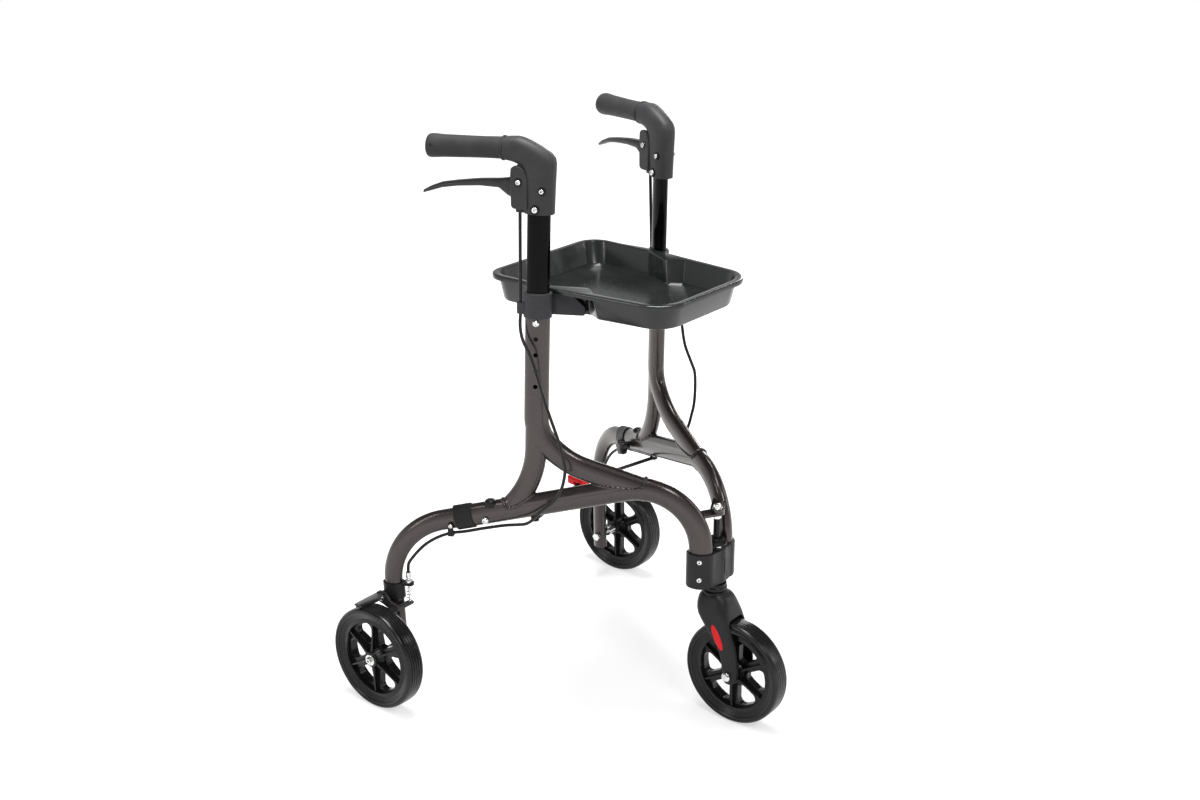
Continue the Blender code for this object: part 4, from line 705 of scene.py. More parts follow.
def caster_fork():
    """A one-piece fork: its side view over the full width, tapered above and cut out for the wheel."""
    loops = []
    for z, rear, front, half in FORK_STATIONS:
        share = min(1.0, max(0.0, (z - 178.0) / 25.0))
        section = rounded_section((front - rear) / 2, half, 0.34 + 0.3 * share)
        depth = -(rear + front) / 2 - section[:, 0]
        loops.append(np.column_stack([section[:, 1], depth, np.full(SOFT_SIDES, z)]))
    wheel_gap = [(-FORK_INSIDE, 50.0, 1.0), (FORK_INSIDE, 50.0, 1.0), (FORK_INSIDE, FORK_GAP_TOP_Z, 9.0),
        (-FORK_INSIDE, FORK_GAP_TOP_Z, 9.0)]
    blades = loft(loops)
    disc = lathe([(19.5, 200.0), (19.5, FORK_TOP_Z - 1.2), (18.3, FORK_TOP_Z)], 64)
    body = joined(cut(blades, slab(wheel_gap, -90.0, 50.0, "Y")), disc)
    cutters = [rod(STEM_RADIUS + 0.2, (0.0, 0.0, STEM_FOOT_Z - GAP), (0.0, 0.0, 230.0), 64),
        rod(BOLT_RADIUS + 0.2, (-40.0, -CASTER_TRAIL, WHEEL_RADIUS), (40.0, -CASTER_TRAIL, WHEEL_RADIUS))]
    for face in (-1, 1):
        cutters.append(inlay_shape(face, GAP, FORK_OUTSIDE - INLAY_DEPTH, FORK_OUTSIDE + 5.0))
    return cut(body, *cutters)


def inlay_shape(face, play, inside, outside):
    """The long oval badge shape on a fork blade."""
    turn = math.radians(INLAY_TURN)
    outline = oval(INLAY_HALF[0] + play, INLAY_HALF[1] + play, 64)
    along = np.array([math.cos(turn), math.sin(turn)])
    beside = np.array([-math.sin(turn), math.cos(turn)])
    plan = np.array(INLAY_CENTRE) + outline[:, :1] * along + outline[:, 1:] * beside
    return loft([np.column_stack([np.full(len(plan), face * x), plan]) for x in (inside, outside)])


def wheel_rim():
    """A rim round the X axis: a ring and a hub joined by a pierced web with a fin on each spoke."""
    seat = SEAT_RADIUS - GAP
    half = TYRE_HALF_WIDTH - 2.4
    ring_profile = [(seat, -half), (seat, half), (67.0, half - 3.5), (60.5, half - 2.0)]
    ring_profile += [(60.5, 2.0 - half), (67.0, 3.5 - half)]
    bore = BOLT_RADIUS + HOLE_PLAY
    hub_profile = [(bore, -HUB_HALF), (12.5, -HUB_HALF), (14.0, -12.0), (18.5, -WEB_HALF + 1.0)]
    hub_profile += [(18.5, WEB_HALF - 1.0), (14.0, 12.0), (12.5, HUB_HALF), (bore, HUB_HALF)]
    web_profile = [(15.0, -WEB_HALF), (63.0, -WEB_HALF), (63.0, WEB_HALF), (15.0, WEB_HALF)]
    opening = [(24.5, -5.0, 4.5), (57.0, -24.0, 9.5), (57.0, 24.0, 9.5), (24.5, 5.0, 4.5)]
    openings = []
    fins = []
    for k in range(SPOKES):
        turn = 2 * math.pi * k / SPOKES
        openings.append(moved(slab(opening, -20.0, 20.0, "X"), Matrix.Rotation(turn, 4, "X")))
        fin = []
        for radius, reach, half_thick in ((11.5, 15.2, 2.2), (30.0, 12.6, 1.5), (64.0, 10.4, 1.3)):
            corners = ((-reach, -half_thick), (reach, -half_thick), (reach, half_thick), (-reach, half_thick))
            fin.append(np.array([(x, radius, across_it) for x, across_it in corners]))
        fins.append(moved(loft(fin), Matrix.Rotation(turn + math.pi / SPOKES, 4, "X")))
    web = cut(lathe(web_profile, WHEEL_STEPS, "X", ring=True), *openings)
    ring_mesh = lathe(ring_profile, WHEEL_STEPS, "X", ring=True)
    wheel = joined(joined(web, *fins), ring_mesh)
    return joined(wheel, lathe(hub_profile, 48, "X", ring=True))


def wheel_tyre():
    """A tyre round the X axis with fine grooves round its tread and one on each side."""
    half = TYRE_HALF_WIDTH
    profile = [(SEAT_RADIUS, half - 1.9), (76.5, half - 0.8), (78.2, half - 0.3), (78.5, half - 0.9)]
    profile += [(79.1, half - 0.9), (79.4, half - 0.1), (81.0, half), (82.6, half - 0.7), (83.9, half - 2.2)]
    profile += [(84.7, half - 4.2)]
    for centre in TREAD_GROOVES:
        crown = WHEEL_RADIUS - 0.0016 * centre**2
        profile += [(crown, centre + 0.75), (crown - 1.1, centre + 0.35)]
        profile += [(crown - 1.1, centre - 0.35), (crown, centre - 0.75)]
    profile += [(radius, -x) for radius, x in reversed(profile[:10])]
    return lathe(profile, WHEEL_STEPS, "X", ring=True)


def rear_axle(side):
    """The axle bolt with the bright collar between hub and leg and the nut inside the leg."""
    x, y = REAR_WHEEL
    hub_inside = x - HUB_HALF
    centre = (0.0, y, WHEEL_RADIUS)
    shank = rod(BOLT_RADIUS, (248.0, y, WHEEL_RADIUS), (x + HUB_HALF + 2.0, y, WHEEL_RADIUS))
    collar = lathe([(8.0, LEG_OUTSIDE_X), (8.0, hub_inside - 0.4)], 48, "X", centre)
    face = x + HUB_HALF
    washer = lathe([(9.4, face + 0.4), (9.4, face + 1.5), (8.8, face + 2.0)], 48, "X", centre)
    head = lathe([(5.8, face + 1.5), (5.8, face + 4.9), (4.6, face + 6.0)], 6, "X", centre)
    nut = lathe([(7.5, 243.5), (7.5, 249.3)], 6, "X", centre)
    return moved(joined(shank, collar, washer, head, nut), mirror_matrix(side))


def clamp_hook(side):
    """The collar on top of the upright with its tray arm and cable clip."""
    low, high = CLAMP_Z
    lip_z = UPRIGHT_TOP[1] + 0.8
    over_upright = grown(UPRIGHT_HALF, GAP)
    over_tube = grown(UPRIGHT_HALF, -UPRIGHT_WALL)
    profile = [(low, CLAMP_HALF), (high - 1.0, CLAMP_HALF), (high, grown(CLAMP_HALF, -1.0)),
        (high, over_tube), (lip_z, over_tube), (lip_z, over_upright), (low, over_upright)]
    collar = loft([level_loop(half, upright_s(z), z) for z, half in profile], ring=True)
    arm_outline = [(176.0, low, 3.0), (226.0, low, 0.5), (226.0, high, 0.5), (203.0, high, 8.0),
        (176.0, 664.0, 3.0)]
    arm = slab(arm_outline, ARM_LATERAL[0], ARM_LATERAL[1], "X")
    heel_outline = [(224.0, low, 0.5), (240.0, low, 0.5), (240.0, high - 2.0, 0.5), (224.0, high, 0.5)]
    heel = slab(heel_outline, ARM_LATERAL[0], -12.4, "X")
    clip_s, clip_low, clip_high = CABLE_CLIP
    clip_outline = [(-5.5, clip_s - 8.0, 0.5), (5.5, clip_s - 8.0, 0.5), (5.5, clip_s + 5.5, 5.0),
        (-5.5, clip_s + 5.5, 5.0)]
    clip = slab(clip_outline, clip_low, clip_high, "Z", 0.4)
    body = joined(collar, arm, heel, clip)
    hole = rod(CABLE_RADIUS + GAP, (0.0, clip_s, clip_low - 5.0), (0.0, clip_s, clip_high + 5.0))
    inside = tube(upright_route(low - 5.0, lip_z), [over_upright])
    return moved(cut(body, hole, inside), side_matrix(side))


def lock_screw(side):
    z = hole_heights()[0]
    wall = UPRIGHT_HALF[1]
    foot = (wall - 1.0, upright_s(z), z)
    return cap_screw(side, foot, wall + GAP, 3.0, 5.0, 4.5)


RIM_CORNERS = [(112.0, 18.5, 52.0), (122.0, 110.0, 80.0), (130.5, 190.0, 30.0), (136.0, 240.0, 15.0),
    (131.5, 285.0, 60.0), (134.5, 351.0, 36.0)]
WALL_CORNERS = [(103.0, 27.5, 45.0), (113.5, 110.0, 60.0), (116.5, 152.0, 10.0), (97.8, 173.8, 11.0),
    (124.4, 226.0, 18.0), (125.5, 342.0, 30.0)]
FOOT_CORNERS = [(95.5, 34.0, 42.0), (104.0, 110.0, 60.0), (108.5, 147.0, 10.0), (96.8, 170.4, 11.0),
    (119.5, 218.0, 18.0), (120.5, 333.0, 26.0)]


def tray_outline(share):
    """The wall's corners on both sides, from the foot (share 0) to the rim (share 1)."""
    corners = []
    for foot, top in zip(FOOT_CORNERS, WALL_CORNERS):
        corners.append(tuple(a + (b - a) * share for a, b in zip(foot, top)))
    return both_sides(corners)


def both_sides(corners):
    """Corners on the +x side followed by their mirror images, all the way round."""
    return corners + [(-x, y, radius) for x, y, radius in reversed(corners)]


def tray():
    """An open tray with a rolled rim, steep walls set back from the clamp arms, and a dimpled floor."""
    top = TRAY_RIM_TOP
    under = top - RIM_THICK
    skirt = top - RIM_DEPTH
    floor = TRAY_FLOOR_Z
    height = under - floor
    rim = both_sides(RIM_CORNERS)
    profile = [(floor, tray_outline(0.0), 4.0), (floor + 1.2, tray_outline(1.2 / height), 1.4),
        (floor + 3.5, tray_outline(3.5 / height), 0.2), (under - 1.0, tray_outline(1.0), 0.0),
        (under, tray_outline(1.0), -0.8), (under, rim, 3.4), (under - 0.8, rim, 2.4), (skirt, rim, 2.0),
        (skirt, rim, 0.3), (skirt + 0.8, rim, 0.0), (top - 2.2, rim, 0.0), (top - 0.9, rim, 0.4),
        (top - 0.2, rim, 1.5), (top, rim, 3.0), (top, tray_outline(1.0), TRAY_WALL - 1.8),
        (top - 0.4, tray_outline(1.0), TRAY_WALL - 0.6), (top - 1.6, tray_outline(1.0), TRAY_WALL),
        (floor + TRAY_WALL + 5.0, tray_outline((TRAY_WALL + 5.0) / height), TRAY_WALL),
        (floor + TRAY_WALL + 1.6, tray_outline(0.03), TRAY_WALL + 1.0),
        (floor + TRAY_WALL, tray_outline(0.0), TRAY_WALL + 3.4)]
    loops = []
    for z, corners, inset in profile:
        loops.append(at_level(rounded(corners, inset, 12), z))
    shell = loft(loops)
    cutters = [dimples()]
    for side in (-1, 1):
        cutters.append(moved(clamp_room(), side_matrix(side)))
    return cut(shell, *cutters)


def clamp_room():
    """The room that the clamp's collar and arm need in the tray, with the sides' folding play."""
    low, high = CLAMP_Z[0] - 3.0, CLAMP_Z[1] + 0.3
    collar = loft([level_loop(grown(CLAMP_HALF, FOLD_ROOM), upright_s(z), z) for z in (low, high)])
    arm = box((ARM_LATERAL[0] - FOLD_ROOM, 205.0, low), (ARM_LATERAL[1] + FOLD_ROOM + 0.4, 243.0, high))
    return joined(collar, arm)


def dimples():
    """Shallow round hollows in rows on the tray's floor."""
    level = TRAY_FLOOR_Z + TRAY_WALL
    turn = circle(1.0, 16)
    points = []
    faces = []
    for x in np.arange(-54.0, 55.0, DIMPLE_PITCH[0]):
        for y in np.arange(140.0, 275.0, DIMPLE_PITCH[1]):
            first = len(points)
            for radius, z in ((2.6, level + 0.6), (2.0, level - 0.45), (1.0, level - 0.8)):
                points += [(x + radius * a, y + radius * b, z) for a, b in turn]
            for row in (0, 16):
                for k in range(16):
                    after = (k + 1) % 16
                    near = first + row
                    faces.append((near + k, near + after, near + 16 + after, near + 16 + k))
            faces.append(tuple(range(first, first + 16)))
            faces.append(tuple(range(first + 32, first + 48)))
    return mesh_of(points, faces)


def handle_tube(side):
    half = grown(UPRIGHT_HALF, -UPRIGHT_WALL - GAP)
    return moved(tube(upright_route(TUBE_FOOT_Z, HOUSING_FOOT_Z + HOUSING_LAP), [half]), side_matrix(side))


def grip_axis(u):
    share = (u - GRIP_START[0]) / (GRIP_END[0] - GRIP_START[0])
    return GRIP_START[1] + (GRIP_END[1] - GRIP_START[1]) * share


def grip_housing(side):
    """The elbow over the handle tube, with the lever's lugs, the cable's seat and the grip's core."""
    loops = []
    for rear, front, half in ELBOW_STATIONS:
        rear = np.array(rear)
        front = np.array(front)
        section = rounded_section(0.5, half)
        middle = (rear + front) / 2
        place = middle + section[:, :1] * (front - rear)
        loops.append(np.column_stack([section[:, 1], place]))
    elbow = loft(loops)
    end = GRIP_START[0]
    core_foot = (0.0, end - 6.0, grip_axis(end - 6.0))
    core = rod(CORE_RADIUS, core_foot, (0.0, CORE_END, grip_axis(CORE_END)), 48)
    lug_outline = [(13.0, 815.0, 3.0), (38.0, 815.0, 6.0), (39.0, 858.0, 10.0), (37.5, 878.0, 7.0),
        (20.0, 877.0, 10.0), (12.5, 858.0, 14.0)]
    lugs = slab(lug_outline, -LUG_OUTSIDE, LUG_OUTSIDE, "X", 1.2)
    seat = slab([(-6.0, 20.0, 0.5), (6.0, 20.0, 0.5), (6.0, 36.0, 5.0), (-6.0, 36.0, 5.0)], HOUSING_FOOT_Z,
        HOUSING_FOOT_Z + 9.0)
    body = joined(elbow, core, lugs, seat)
    pivot_u, pivot_z = LEVER_PIVOT
    slot_outline = [(19.6, 817.0, 1.0), (60.0, 817.0, 1.0), (60.0, 878.5, 1.0), (19.6, 878.5, 4.0)]
    slot = slab(slot_outline, -LUG_INSIDE, LUG_INSIDE, "X")
    pin_hole = rod(LEVER_PIN_RADIUS + 0.2, (-30.0, pivot_u, pivot_z), (30.0, pivot_u, pivot_z))
    wire_hole = rod(1.6, (0.0, CABLE_SEAT_U, 800.0), (0.0, CABLE_SEAT_U, 830.0))
    tube_half = grown(UPRIGHT_HALF, -UPRIGHT_WALL)
    tube_bore = tube(upright_route(HOUSING_FOOT_Z - 5.0, HOUSING_FOOT_Z + HOUSING_LAP + GAP), [tube_half])
    housing = moved(cut(body, slot, pin_hole, wire_hole), handle_matrix(side))
    return cut(housing, moved(tube_bore, side_matrix(side)))


def rounded_section(half_a, half_b, power=0.78):
    """A soft-cornered section, fuller than an oval."""
    turns = np.arange(SOFT_SIDES) * 2 * math.pi / SOFT_SIDES
    cosine = np.sign(np.cos(turns)) * np.abs(np.cos(turns)) ** power
    sine = np.sign(np.sin(turns)) * np.abs(np.sin(turns)) ** power
    return np.stack([half_a * cosine, half_b * sine], axis=1)


def grip(side):
    """The soft sleeve over the core, closed and a little thicker at its end, with a crease there."""
    start = GRIP_START[0] + GAP
    profile = [(CORE_RADIUS + GAP, CORE_END + 1.0), (CORE_RADIUS + GAP, start), (17.6, start),
        (18.2, start + 0.7), (18.2, start + 2.9), (17.6, start + 3.7), (GRIP_RADIUS - 0.2, start + 5.0),
        (GRIP_RADIUS - 0.5, start + 9.0), (GRIP_RADIUS - 0.8, start + 30.0),
        (GRIP_RADIUS - 0.7, GRIP_END[0] - 70.0), (GRIP_RADIUS - 0.3, GRIP_END[0] - 48.0),
        (GRIP_RADIUS + 0.1, GRIP_END[0] - 24.0), (GRIP_RADIUS + 0.9, GRIP_END[0] - 13.0),
        (GRIP_RADIUS + 1.1, GRIP_END[0] - 6.0), (GRIP_RADIUS + 0.6, GRIP_END[0] - 2.4),
        (GRIP_RADIUS - 0.6, GRIP_END[0] - 0.6), (GRIP_RADIUS - 2.4, GRIP_END[0])]
    loops = []
    for radius, u in profile:
        turn = circle(radius, 64)
        height = grip_axis(u) + turn[:, 1]
        loops.append(np.column_stack([turn[:, 0], np.full(64, u), height]))
    end = GRIP_END[0]
    creases = []
    for out in (-1, 1):
        corners = [(end - 3.0, 905.5), (end - 13.5, 897.5), (end - 5.0, 900.5)]
        for tip, foot in zip(corners, corners[1:]):
            creases.append(rod(0.9, (out * 16.6, *tip), (out * 16.9, *foot), 8))
    return moved(cut(loft(loops), *creases), handle_matrix(side))


def brake_lever(side):
    """The lever blade, drawn as stations of rearward place, top, foot and half width."""
    stations = [(21.4, 859.5, 849.5, 7.0), (24.0, 861.2, 842.0, 9.3), (31.0, 861.0, 832.0, 9.5),
        (38.0, 859.8, 827.5, 9.5), (47.0, 857.3, 831.0, 9.5), (60.0, 855.3, 841.5, 9.3),
        (90.0, 853.0, 842.3, 9.0), (126.0, 847.9, 839.2, 8.4), (150.0, 843.6, 835.0, 7.6),
        (168.0, 836.6, 829.0, 6.4), (180.0, 829.9, 825.2, 4.0)]
    loops = []
    for u, top, foot, half in stations:
        section = rounded_section((top - foot) / 2, half)
        height = (top + foot) / 2 + section[:, 0]
        loops.append(np.column_stack([section[:, 1], np.full(SOFT_SIDES, u), height]))
    pivot_u, pivot_z = LEVER_PIVOT
    hole = rod(LEVER_PIN_RADIUS + 0.2, (-20.0, pivot_u, pivot_z), (20.0, pivot_u, pivot_z))
    return moved(cut(loft(loops), hole), handle_matrix(side))


def lever_pivot(side):
    """The pivot bolt of a brake lever, with its head on the same side of both handles."""
    out = -side
    u, z = LEVER_PIVOT
    end = LUG_OUTSIDE + GAP
    profile = [(LEVER_PIN_RADIUS, -out * LUG_OUTSIDE), (LEVER_PIN_RADIUS, out * end), (4.0, out * end),
        (4.0, out * (end + 1.8)), (3.0, out * (end + 2.8))]
    return moved(lathe(profile, SCREW_SIDES, "X", (0.0, u, z)), handle_matrix(side))


def brake_bracket(side):
    """A band round the leg with the cable's ear in front and the pivot's boss outside."""
    low, high = BRACKET_BAND_Z
    outer = grown(LEG_FOOT_HALF, 3.0)
    loops = [level_loop(outer, leg_centre_s(z), z, 64) for z in (low, high)]
    ear_outline = [(-7.0, WIRE_S - 8.5, 6.0), (7.0, WIRE_S - 8.5, 6.0), (7.0, WIRE_S + 14.0, 0.5),
        (-7.0, WIRE_S + 14.0, 0.5)]
    ear = slab(ear_outline, high - 4.0, high)
    band = moved(joined(loft(loops), ear), side_matrix(side))
    y, z = BRAKE_PIVOT
    boss = lathe([(9.0, 262.0), (9.0, BRAKE_PLATE_X[0] - GAP)], 18, "X", (0.0, y, z))
    body = joined(band, moved(boss, mirror_matrix(side)))
    leg_hole = [level_loop(grown(LEG_FOOT_HALF, GAP), leg_centre_s(z), z) for z in (low - 20.0, high + 20.0)]
    pin_hole = moved(rod(BRAKE_PIN_HOLE, (275.8, y, z), (300.0, y, z)), mirror_matrix(side))
    wire_hole = rod(3.3, (0.0, WIRE_S, high - 10.0), (0.0, WIRE_S, high + 10.0))
    matrix = side_matrix(side)
    return cut(body, moved(loft(leg_hole), matrix), pin_hole, moved(wire_hole, matrix))


def shoe_arc(inner, outer, start, end, low, high, steps, taper=0.0):
    """A block over the tyre between two radii and two angles rearward of its top, narrower outwards."""
    loops = []
    for x, less in ((low, 0.0), (high, taper)):
        angles = np.radians(np.linspace(start + less, end - less * 0.3, steps))
        plan = []
        for radius, turn in ((inner, angles), (outer, angles[::-1])):
            for angle in turn:
                plan.append((REAR_WHEEL[1] + radius * math.sin(angle),
                    WHEEL_RADIUS + radius * math.cos(angle)))
        loops.append(np.column_stack([np.full(len(plan), x), np.array(plan)]))
    return loft(loops)


def brake_arm(side):
    """The pivoted arm: a plate beside the leg, a toe under the spring and a shelf over the tyre."""
    y, z = BRAKE_PIVOT
    plate_outline = [(463.0, 161.0, 3.0), (463.0, 172.0, 5.0), (456.0, 180.0, 8.0), (440.0, 180.0, 8.0),
        (431.0, 168.0, 8.0), (413.0, 163.0, 3.0), (413.0, 155.5, 3.0), (434.0, 155.5, 10.0),
        (452.0, 161.0, 6.0)]
    plate = slab(plate_outline, BRAKE_PLATE_X[0], BRAKE_PLATE_X[1], "X")
    wire = side_point(1, 0.0, WIRE_S, 0.0)
    toe = box((wire[0] - 6.0, 413.6, 155.9), (BRAKE_PLATE_X[1] - 1.0, 422.6, SPRING_Z[0] - GAP))
    shelf_in = WHEEL_RADIUS + SHOE_GAP + SHOE_THICK + GAP
    shelf_out = shelf_in + 2.4
    x_in = REAR_WHEEL[0] - SHOE_HALF_WIDTH - 1.5
    x_out = REAR_WHEEL[0] + SHOE_HALF_WIDTH + 1.5
    shelf = shoe_arc(shelf_in, shelf_out, SHOE_ARC[0], SHOE_ARC[1], x_in, x_out, 24, 5.0)
    neck = shoe_arc(shelf_in, shelf_out, SHOE_ARC[0] + 2.0, SHOE_ARC[1], BRAKE_PLATE_X[0] + 0.8, x_in + 1.0,
        24)
    body = joined(plate, toe, shelf, neck)
    pin_hole = rod(BRAKE_PIN_HOLE, (260.0, y, z), (300.0, y, z))
    wire_hole = rod(1.4, (wire[0], wire[1], 140.0), (wire[0], wire[1], 170.0))
    return moved(cut(body, pin_hole, wire_hole), mirror_matrix(side))


def brake_shoe(side):
    inner = WHEEL_RADIUS + SHOE_GAP
    x_in = REAR_WHEEL[0] - SHOE_HALF_WIDTH
    x_out = REAR_WHEEL[0] + SHOE_HALF_WIDTH
    pad = shoe_arc(inner, inner + SHOE_THICK, SHOE_ARC[0], SHOE_ARC[1], x_in, x_out, 24, 4.6)
    return moved(pad, mirror_matrix(side))


def brake_pivot(side):
    y, z = BRAKE_PIVOT
    end = BRAKE_PLATE_X[1] + GAP
    foot = BRAKE_PLATE_X[0] - 3.6
    profile = [(BRAKE_PIN_RADIUS, foot), (BRAKE_PIN_RADIUS, end), (5.5, end), (5.5, end + 2.6),
        (3.8, end + 4.0)]
    return moved(lathe(profile, SCREW_SIDES, "X", (0.0, y, z)), mirror_matrix(side))


def cable_adjuster(side):
    """The threaded barrel through the ear with its lock nut and knurled head."""
    ear_top = BRACKET_BAND_Z[1]
    profile = [(1.3, ear_top - 3.8), (3.0, ear_top - 3.8), (3.0, ear_top + GAP), (5.5, ear_top + GAP),
        (5.5, ear_top + 4.0), (3.0, ear_top + 4.0), (3.0, ear_top + 8.0), (4.2, ear_top + 8.6),
        (4.2, ADJUSTER_TOP_Z), (1.3, ADJUSTER_TOP_Z)]
    return moved(lathe(profile, 32, "Z", (0.0, WIRE_S, 0.0), ring=True), side_matrix(side))


def spring_points(side):
    """A spring wound round the wire, its two ends straight for one wire diameter."""
    low, high = SPRING_Z
    straight = 2 * SPRING_WIRE
    start_z = low + SPRING_WIRE + 0.1
    end_z = high - SPRING_WIRE - 0.1
    count = SPRING_CURLS * 8
    points = []
    for k in range(count + 1):
        angle = 2 * math.pi * SPRING_CURLS * k / count
        z = start_z + (end_z - start_z) * k / count
        points.append((SPRING_RADIUS * math.sin(angle), SPRING_RADIUS * math.cos(angle), z))
    first = (-straight, SPRING_RADIUS, start_z)
    last = (straight, SPRING_RADIUS, end_z)
    centre = np.array([0.0, WIRE_S, 0.0])
    local = np.array([first, *points, last]) + centre
    return placed_points(local, side_matrix(side))


def placed_points(points, matrix):
    return np.array([tuple(matrix @ Vector(point)) for point in points])


def upper_cable_points(side):
    seat = handle_matrix(side) @ Vector((0.0, CABLE_SEAT_U, HOUSING_FOOT_Z - GAP))
    clip = side_point(side, 0.0, CABLE_CLIP[0], CABLE_CLIP[2] + GAP)
    middle = (seat + clip) / 2
    knots = [tuple(seat), tuple((seat + middle) / 2), tuple(middle), tuple((middle + clip) / 2), tuple(clip)]
    return np.array(knots)


def lower_cable_points(side):
    """The cable from the clamp's clip, out round the upright, under the beam and down to the leg."""
    clip_s, clip_low, clip_high = CABLE_CLIP
    knots = [(0.0, clip_s, clip_high - 0.5), (0.0, clip_s, clip_low), (0.0, clip_s + 1.0, 644.0),
        (13.0, 266.0, 622.0), (29.0, 251.0, 600.0), (36.5, 241.6, 580.0), (39.6, 233.8, 555.0),
        (40.5, 226.2, 530.0), (45.6, 216.5, 506.0), (50.5, 208.5, 487.0), (50.0, 203.2, 470.0),
        (47.5, 198.6, 447.0), (44.6, 196.4, 429.0), (41.1, 198.5, 410.0), (39.5, 202.0, 396.0),
        (37.0, 208.9, 380.0), (33.0, 219.4, 365.0), (28.0, 235.0, 350.0), (23.5, 248.2, 335.0),
        (19.0, 258.0, 323.5), (14.5, 270.0, 317.5), (10.5, 285.0, 314.0), (8.5, 305.0, 309.8),
        (8.0, 335.0, 302.6), (7.6, 364.0, 295.0), (7.2, 386.0, 290.5), (5.0, 406.0, 281.5),
        (2.0, 427.0, 267.0), (0.0, 443.0, 250.5), (0.0, 454.0, 236.0), (0.0, WIRE_S, ADJUSTER_TOP_Z + 12.0),
        (0.0, WIRE_S, ADJUSTER_TOP_Z + 6.0), (0.0, WIRE_S, ADJUSTER_TOP_Z + GAP)]
    points = smooth_route(knots, 6.0 * CABLE_RADIUS)
    return placed_points(points, side_matrix(side))


def fold_brace(side):
    """A flat link from the bolt under the beam to the middle of the rollator."""
    low = BRACE_Z[side]
    start = side_point(side, 0.0, BRACE_S, 0.0)
    end = np.array([-side * 6.0, BRACE_MIDDLE_Y])
    start = np.array([start[0], start[1]])
    along = (end - start) / np.linalg.norm(end - start)
    normal = np.array([-along[1], along[0]])
    plan = []
    for centre, out in ((start, -1.0), (end, 1.0)):
        for k in range(25):
            angle = math.pi * (k / 24 - 0.5)
            reach = along * math.cos(angle) + normal * math.sin(angle)
            plan.append(centre + out * BRACE_HALF_WIDTH * reach)
    plan = np.array(plan)
    link = prism(plan, low, low + BRACE_THICK)
    x, y = start
    spacer = lathe([(6.5, low + BRACE_THICK - 0.2), (6.5, beam_foot_z(BRACE_S + 6.5) - GAP)], 48, "Z",
        (x, y, 0.0))
    body = cut(joined(link, spacer), rod(3.0 + GAP, (x, y, low - 5.0), (x, y, 340.0)))
    if side > 0:
        slot = [(-9.0, 264.0, 3.9), (9.0, 264.0, 3.9), (9.0, 272.0, 3.9), (-9.0, 272.0, 3.9)]
        return cut(body, slab(slot, low - 10.0, low + 20.0))
    return cut(body, rod(3.3, (0.0, BRACE_MIDDLE_Y, low - 10.0), (0.0, BRACE_MIDDLE_Y, low + 20.0)))


def beam_foot_z(s):
    return beam_centre_z(s) - BEAM_HALF[0] / math.cos(math.radians(BEAM_SLOPE))


def brace_bolt(side):
    """The zinc bolt that holds a link under the beam."""
    x, y, _ = side_point(side, 0.0, BRACE_S, 0.0)
    low = BRACE_Z[side] - GAP
    bolt = rod(3.0, (x, y, low - 0.5), (x, y, 334.0))
    washer = lathe([(6.6, low - 1.1), (6.6, low)], 48, "Z", (x, y, 0.0))
    return joined(bolt, washer, hexagon(10.0, low - 5.2, low - 1.0, (x, y)))


def fold_release():
    """The red pull round both links in the middle of the brace, with its pin through them."""
    top = RELEASE_FOOT_Z + 10.7
    outline = [(-12.0, 254.0, 9.0), (12.0, 254.0, 9.0), (9.5, 292.0, 8.0), (-9.5, 292.0, 8.0)]
    pull = slab(outline, RELEASE_FOOT_Z - 1.6, top, "Z", 1.6)
    finger_hole = [(-5.5, 276.0, 5.0), (5.5, 276.0, 5.0), (4.5, 287.5, 4.0), (-4.5, 287.5, 4.0)]
    room = box((-20.0, 261.0, BRACE_Z[-1] - GAP), (20.0, 274.6, BRACE_Z[1] + BRACE_THICK + GAP))
    pin = rod(3.0, (0.0, BRACE_MIDDLE_Y, RELEASE_FOOT_Z - 1.0), (0.0, BRACE_MIDDLE_Y, top - 2.0))
    return joined(cut(pull, slab(finger_hole, top - 20.0, top + 20.0), room), pin)


def front_axle():
    centre = (0.0, -CASTER_TRAIL, WHEEL_RADIUS)
    reach = FORK_OUTSIDE + GAP
    profile = [(5.5, -reach - 5.5), (7.6, -reach - 3.2), (7.6, -reach), (BOLT_RADIUS, -reach),
        (BOLT_RADIUS, reach), (7.6, reach), (7.6, reach + 5.5), (5.5, reach + 6.5)]
    return lathe(profile, 48, "X", centre)


# Materials, each made of nodes.


def start_material(name):
    made = bpy.data.materials.new(name)
    made.use_nodes = True
    nodes = made.node_tree.nodes
    links = made.node_tree.links
    shader = nodes["Principled BSDF"]
    place = nodes.new("ShaderNodeTexCoord")
    return made, nodes, links, shader, place.outputs["Object"]


def noise(nodes, links, place, scale, detail=3.0):
    made = nodes.new("ShaderNodeTexNoise")
    made.inputs["Scale"].default_value = scale
    made.inputs["Detail"].default_value = detail
    links.new(place, made.inputs["Vector"])
    return made.outputs["Fac"]


def spread(nodes, links, value, low, high, start=0.3, stop=0.7):
    """A value turned into another range."""
    made = nodes.new("ShaderNodeMapRange")
    made.inputs["From Min"].default_value = start
    made.inputs["From Max"].default_value = stop
    made.inputs["To Min"].default_value = low
    made.inputs["To Max"].default_value = high
    links.new(value, made.inputs["Value"])
    return made.outputs["Result"]


def blended(nodes, links, value, low, high):
    """A colour between two colours."""
    made = nodes.new("ShaderNodeMix")
    made.data_type = "RGBA"
    made.inputs["A"].default_value = (*low, 1.0)
    made.inputs["B"].default_value = (*high, 1.0)
    links.new(value, made.inputs["Factor"])
    return made.outputs["Result"]


def bumped(nodes, links, shader, height, strength, distance):
    made = nodes.new("ShaderNodeBump")
    made.inputs["Strength"].default_value = strength
    made.inputs["Distance"].default_value = distance
    links.new(height, made.inputs["Height"])
    links.new(made.outputs["Normal"], shader.inputs["Normal"])


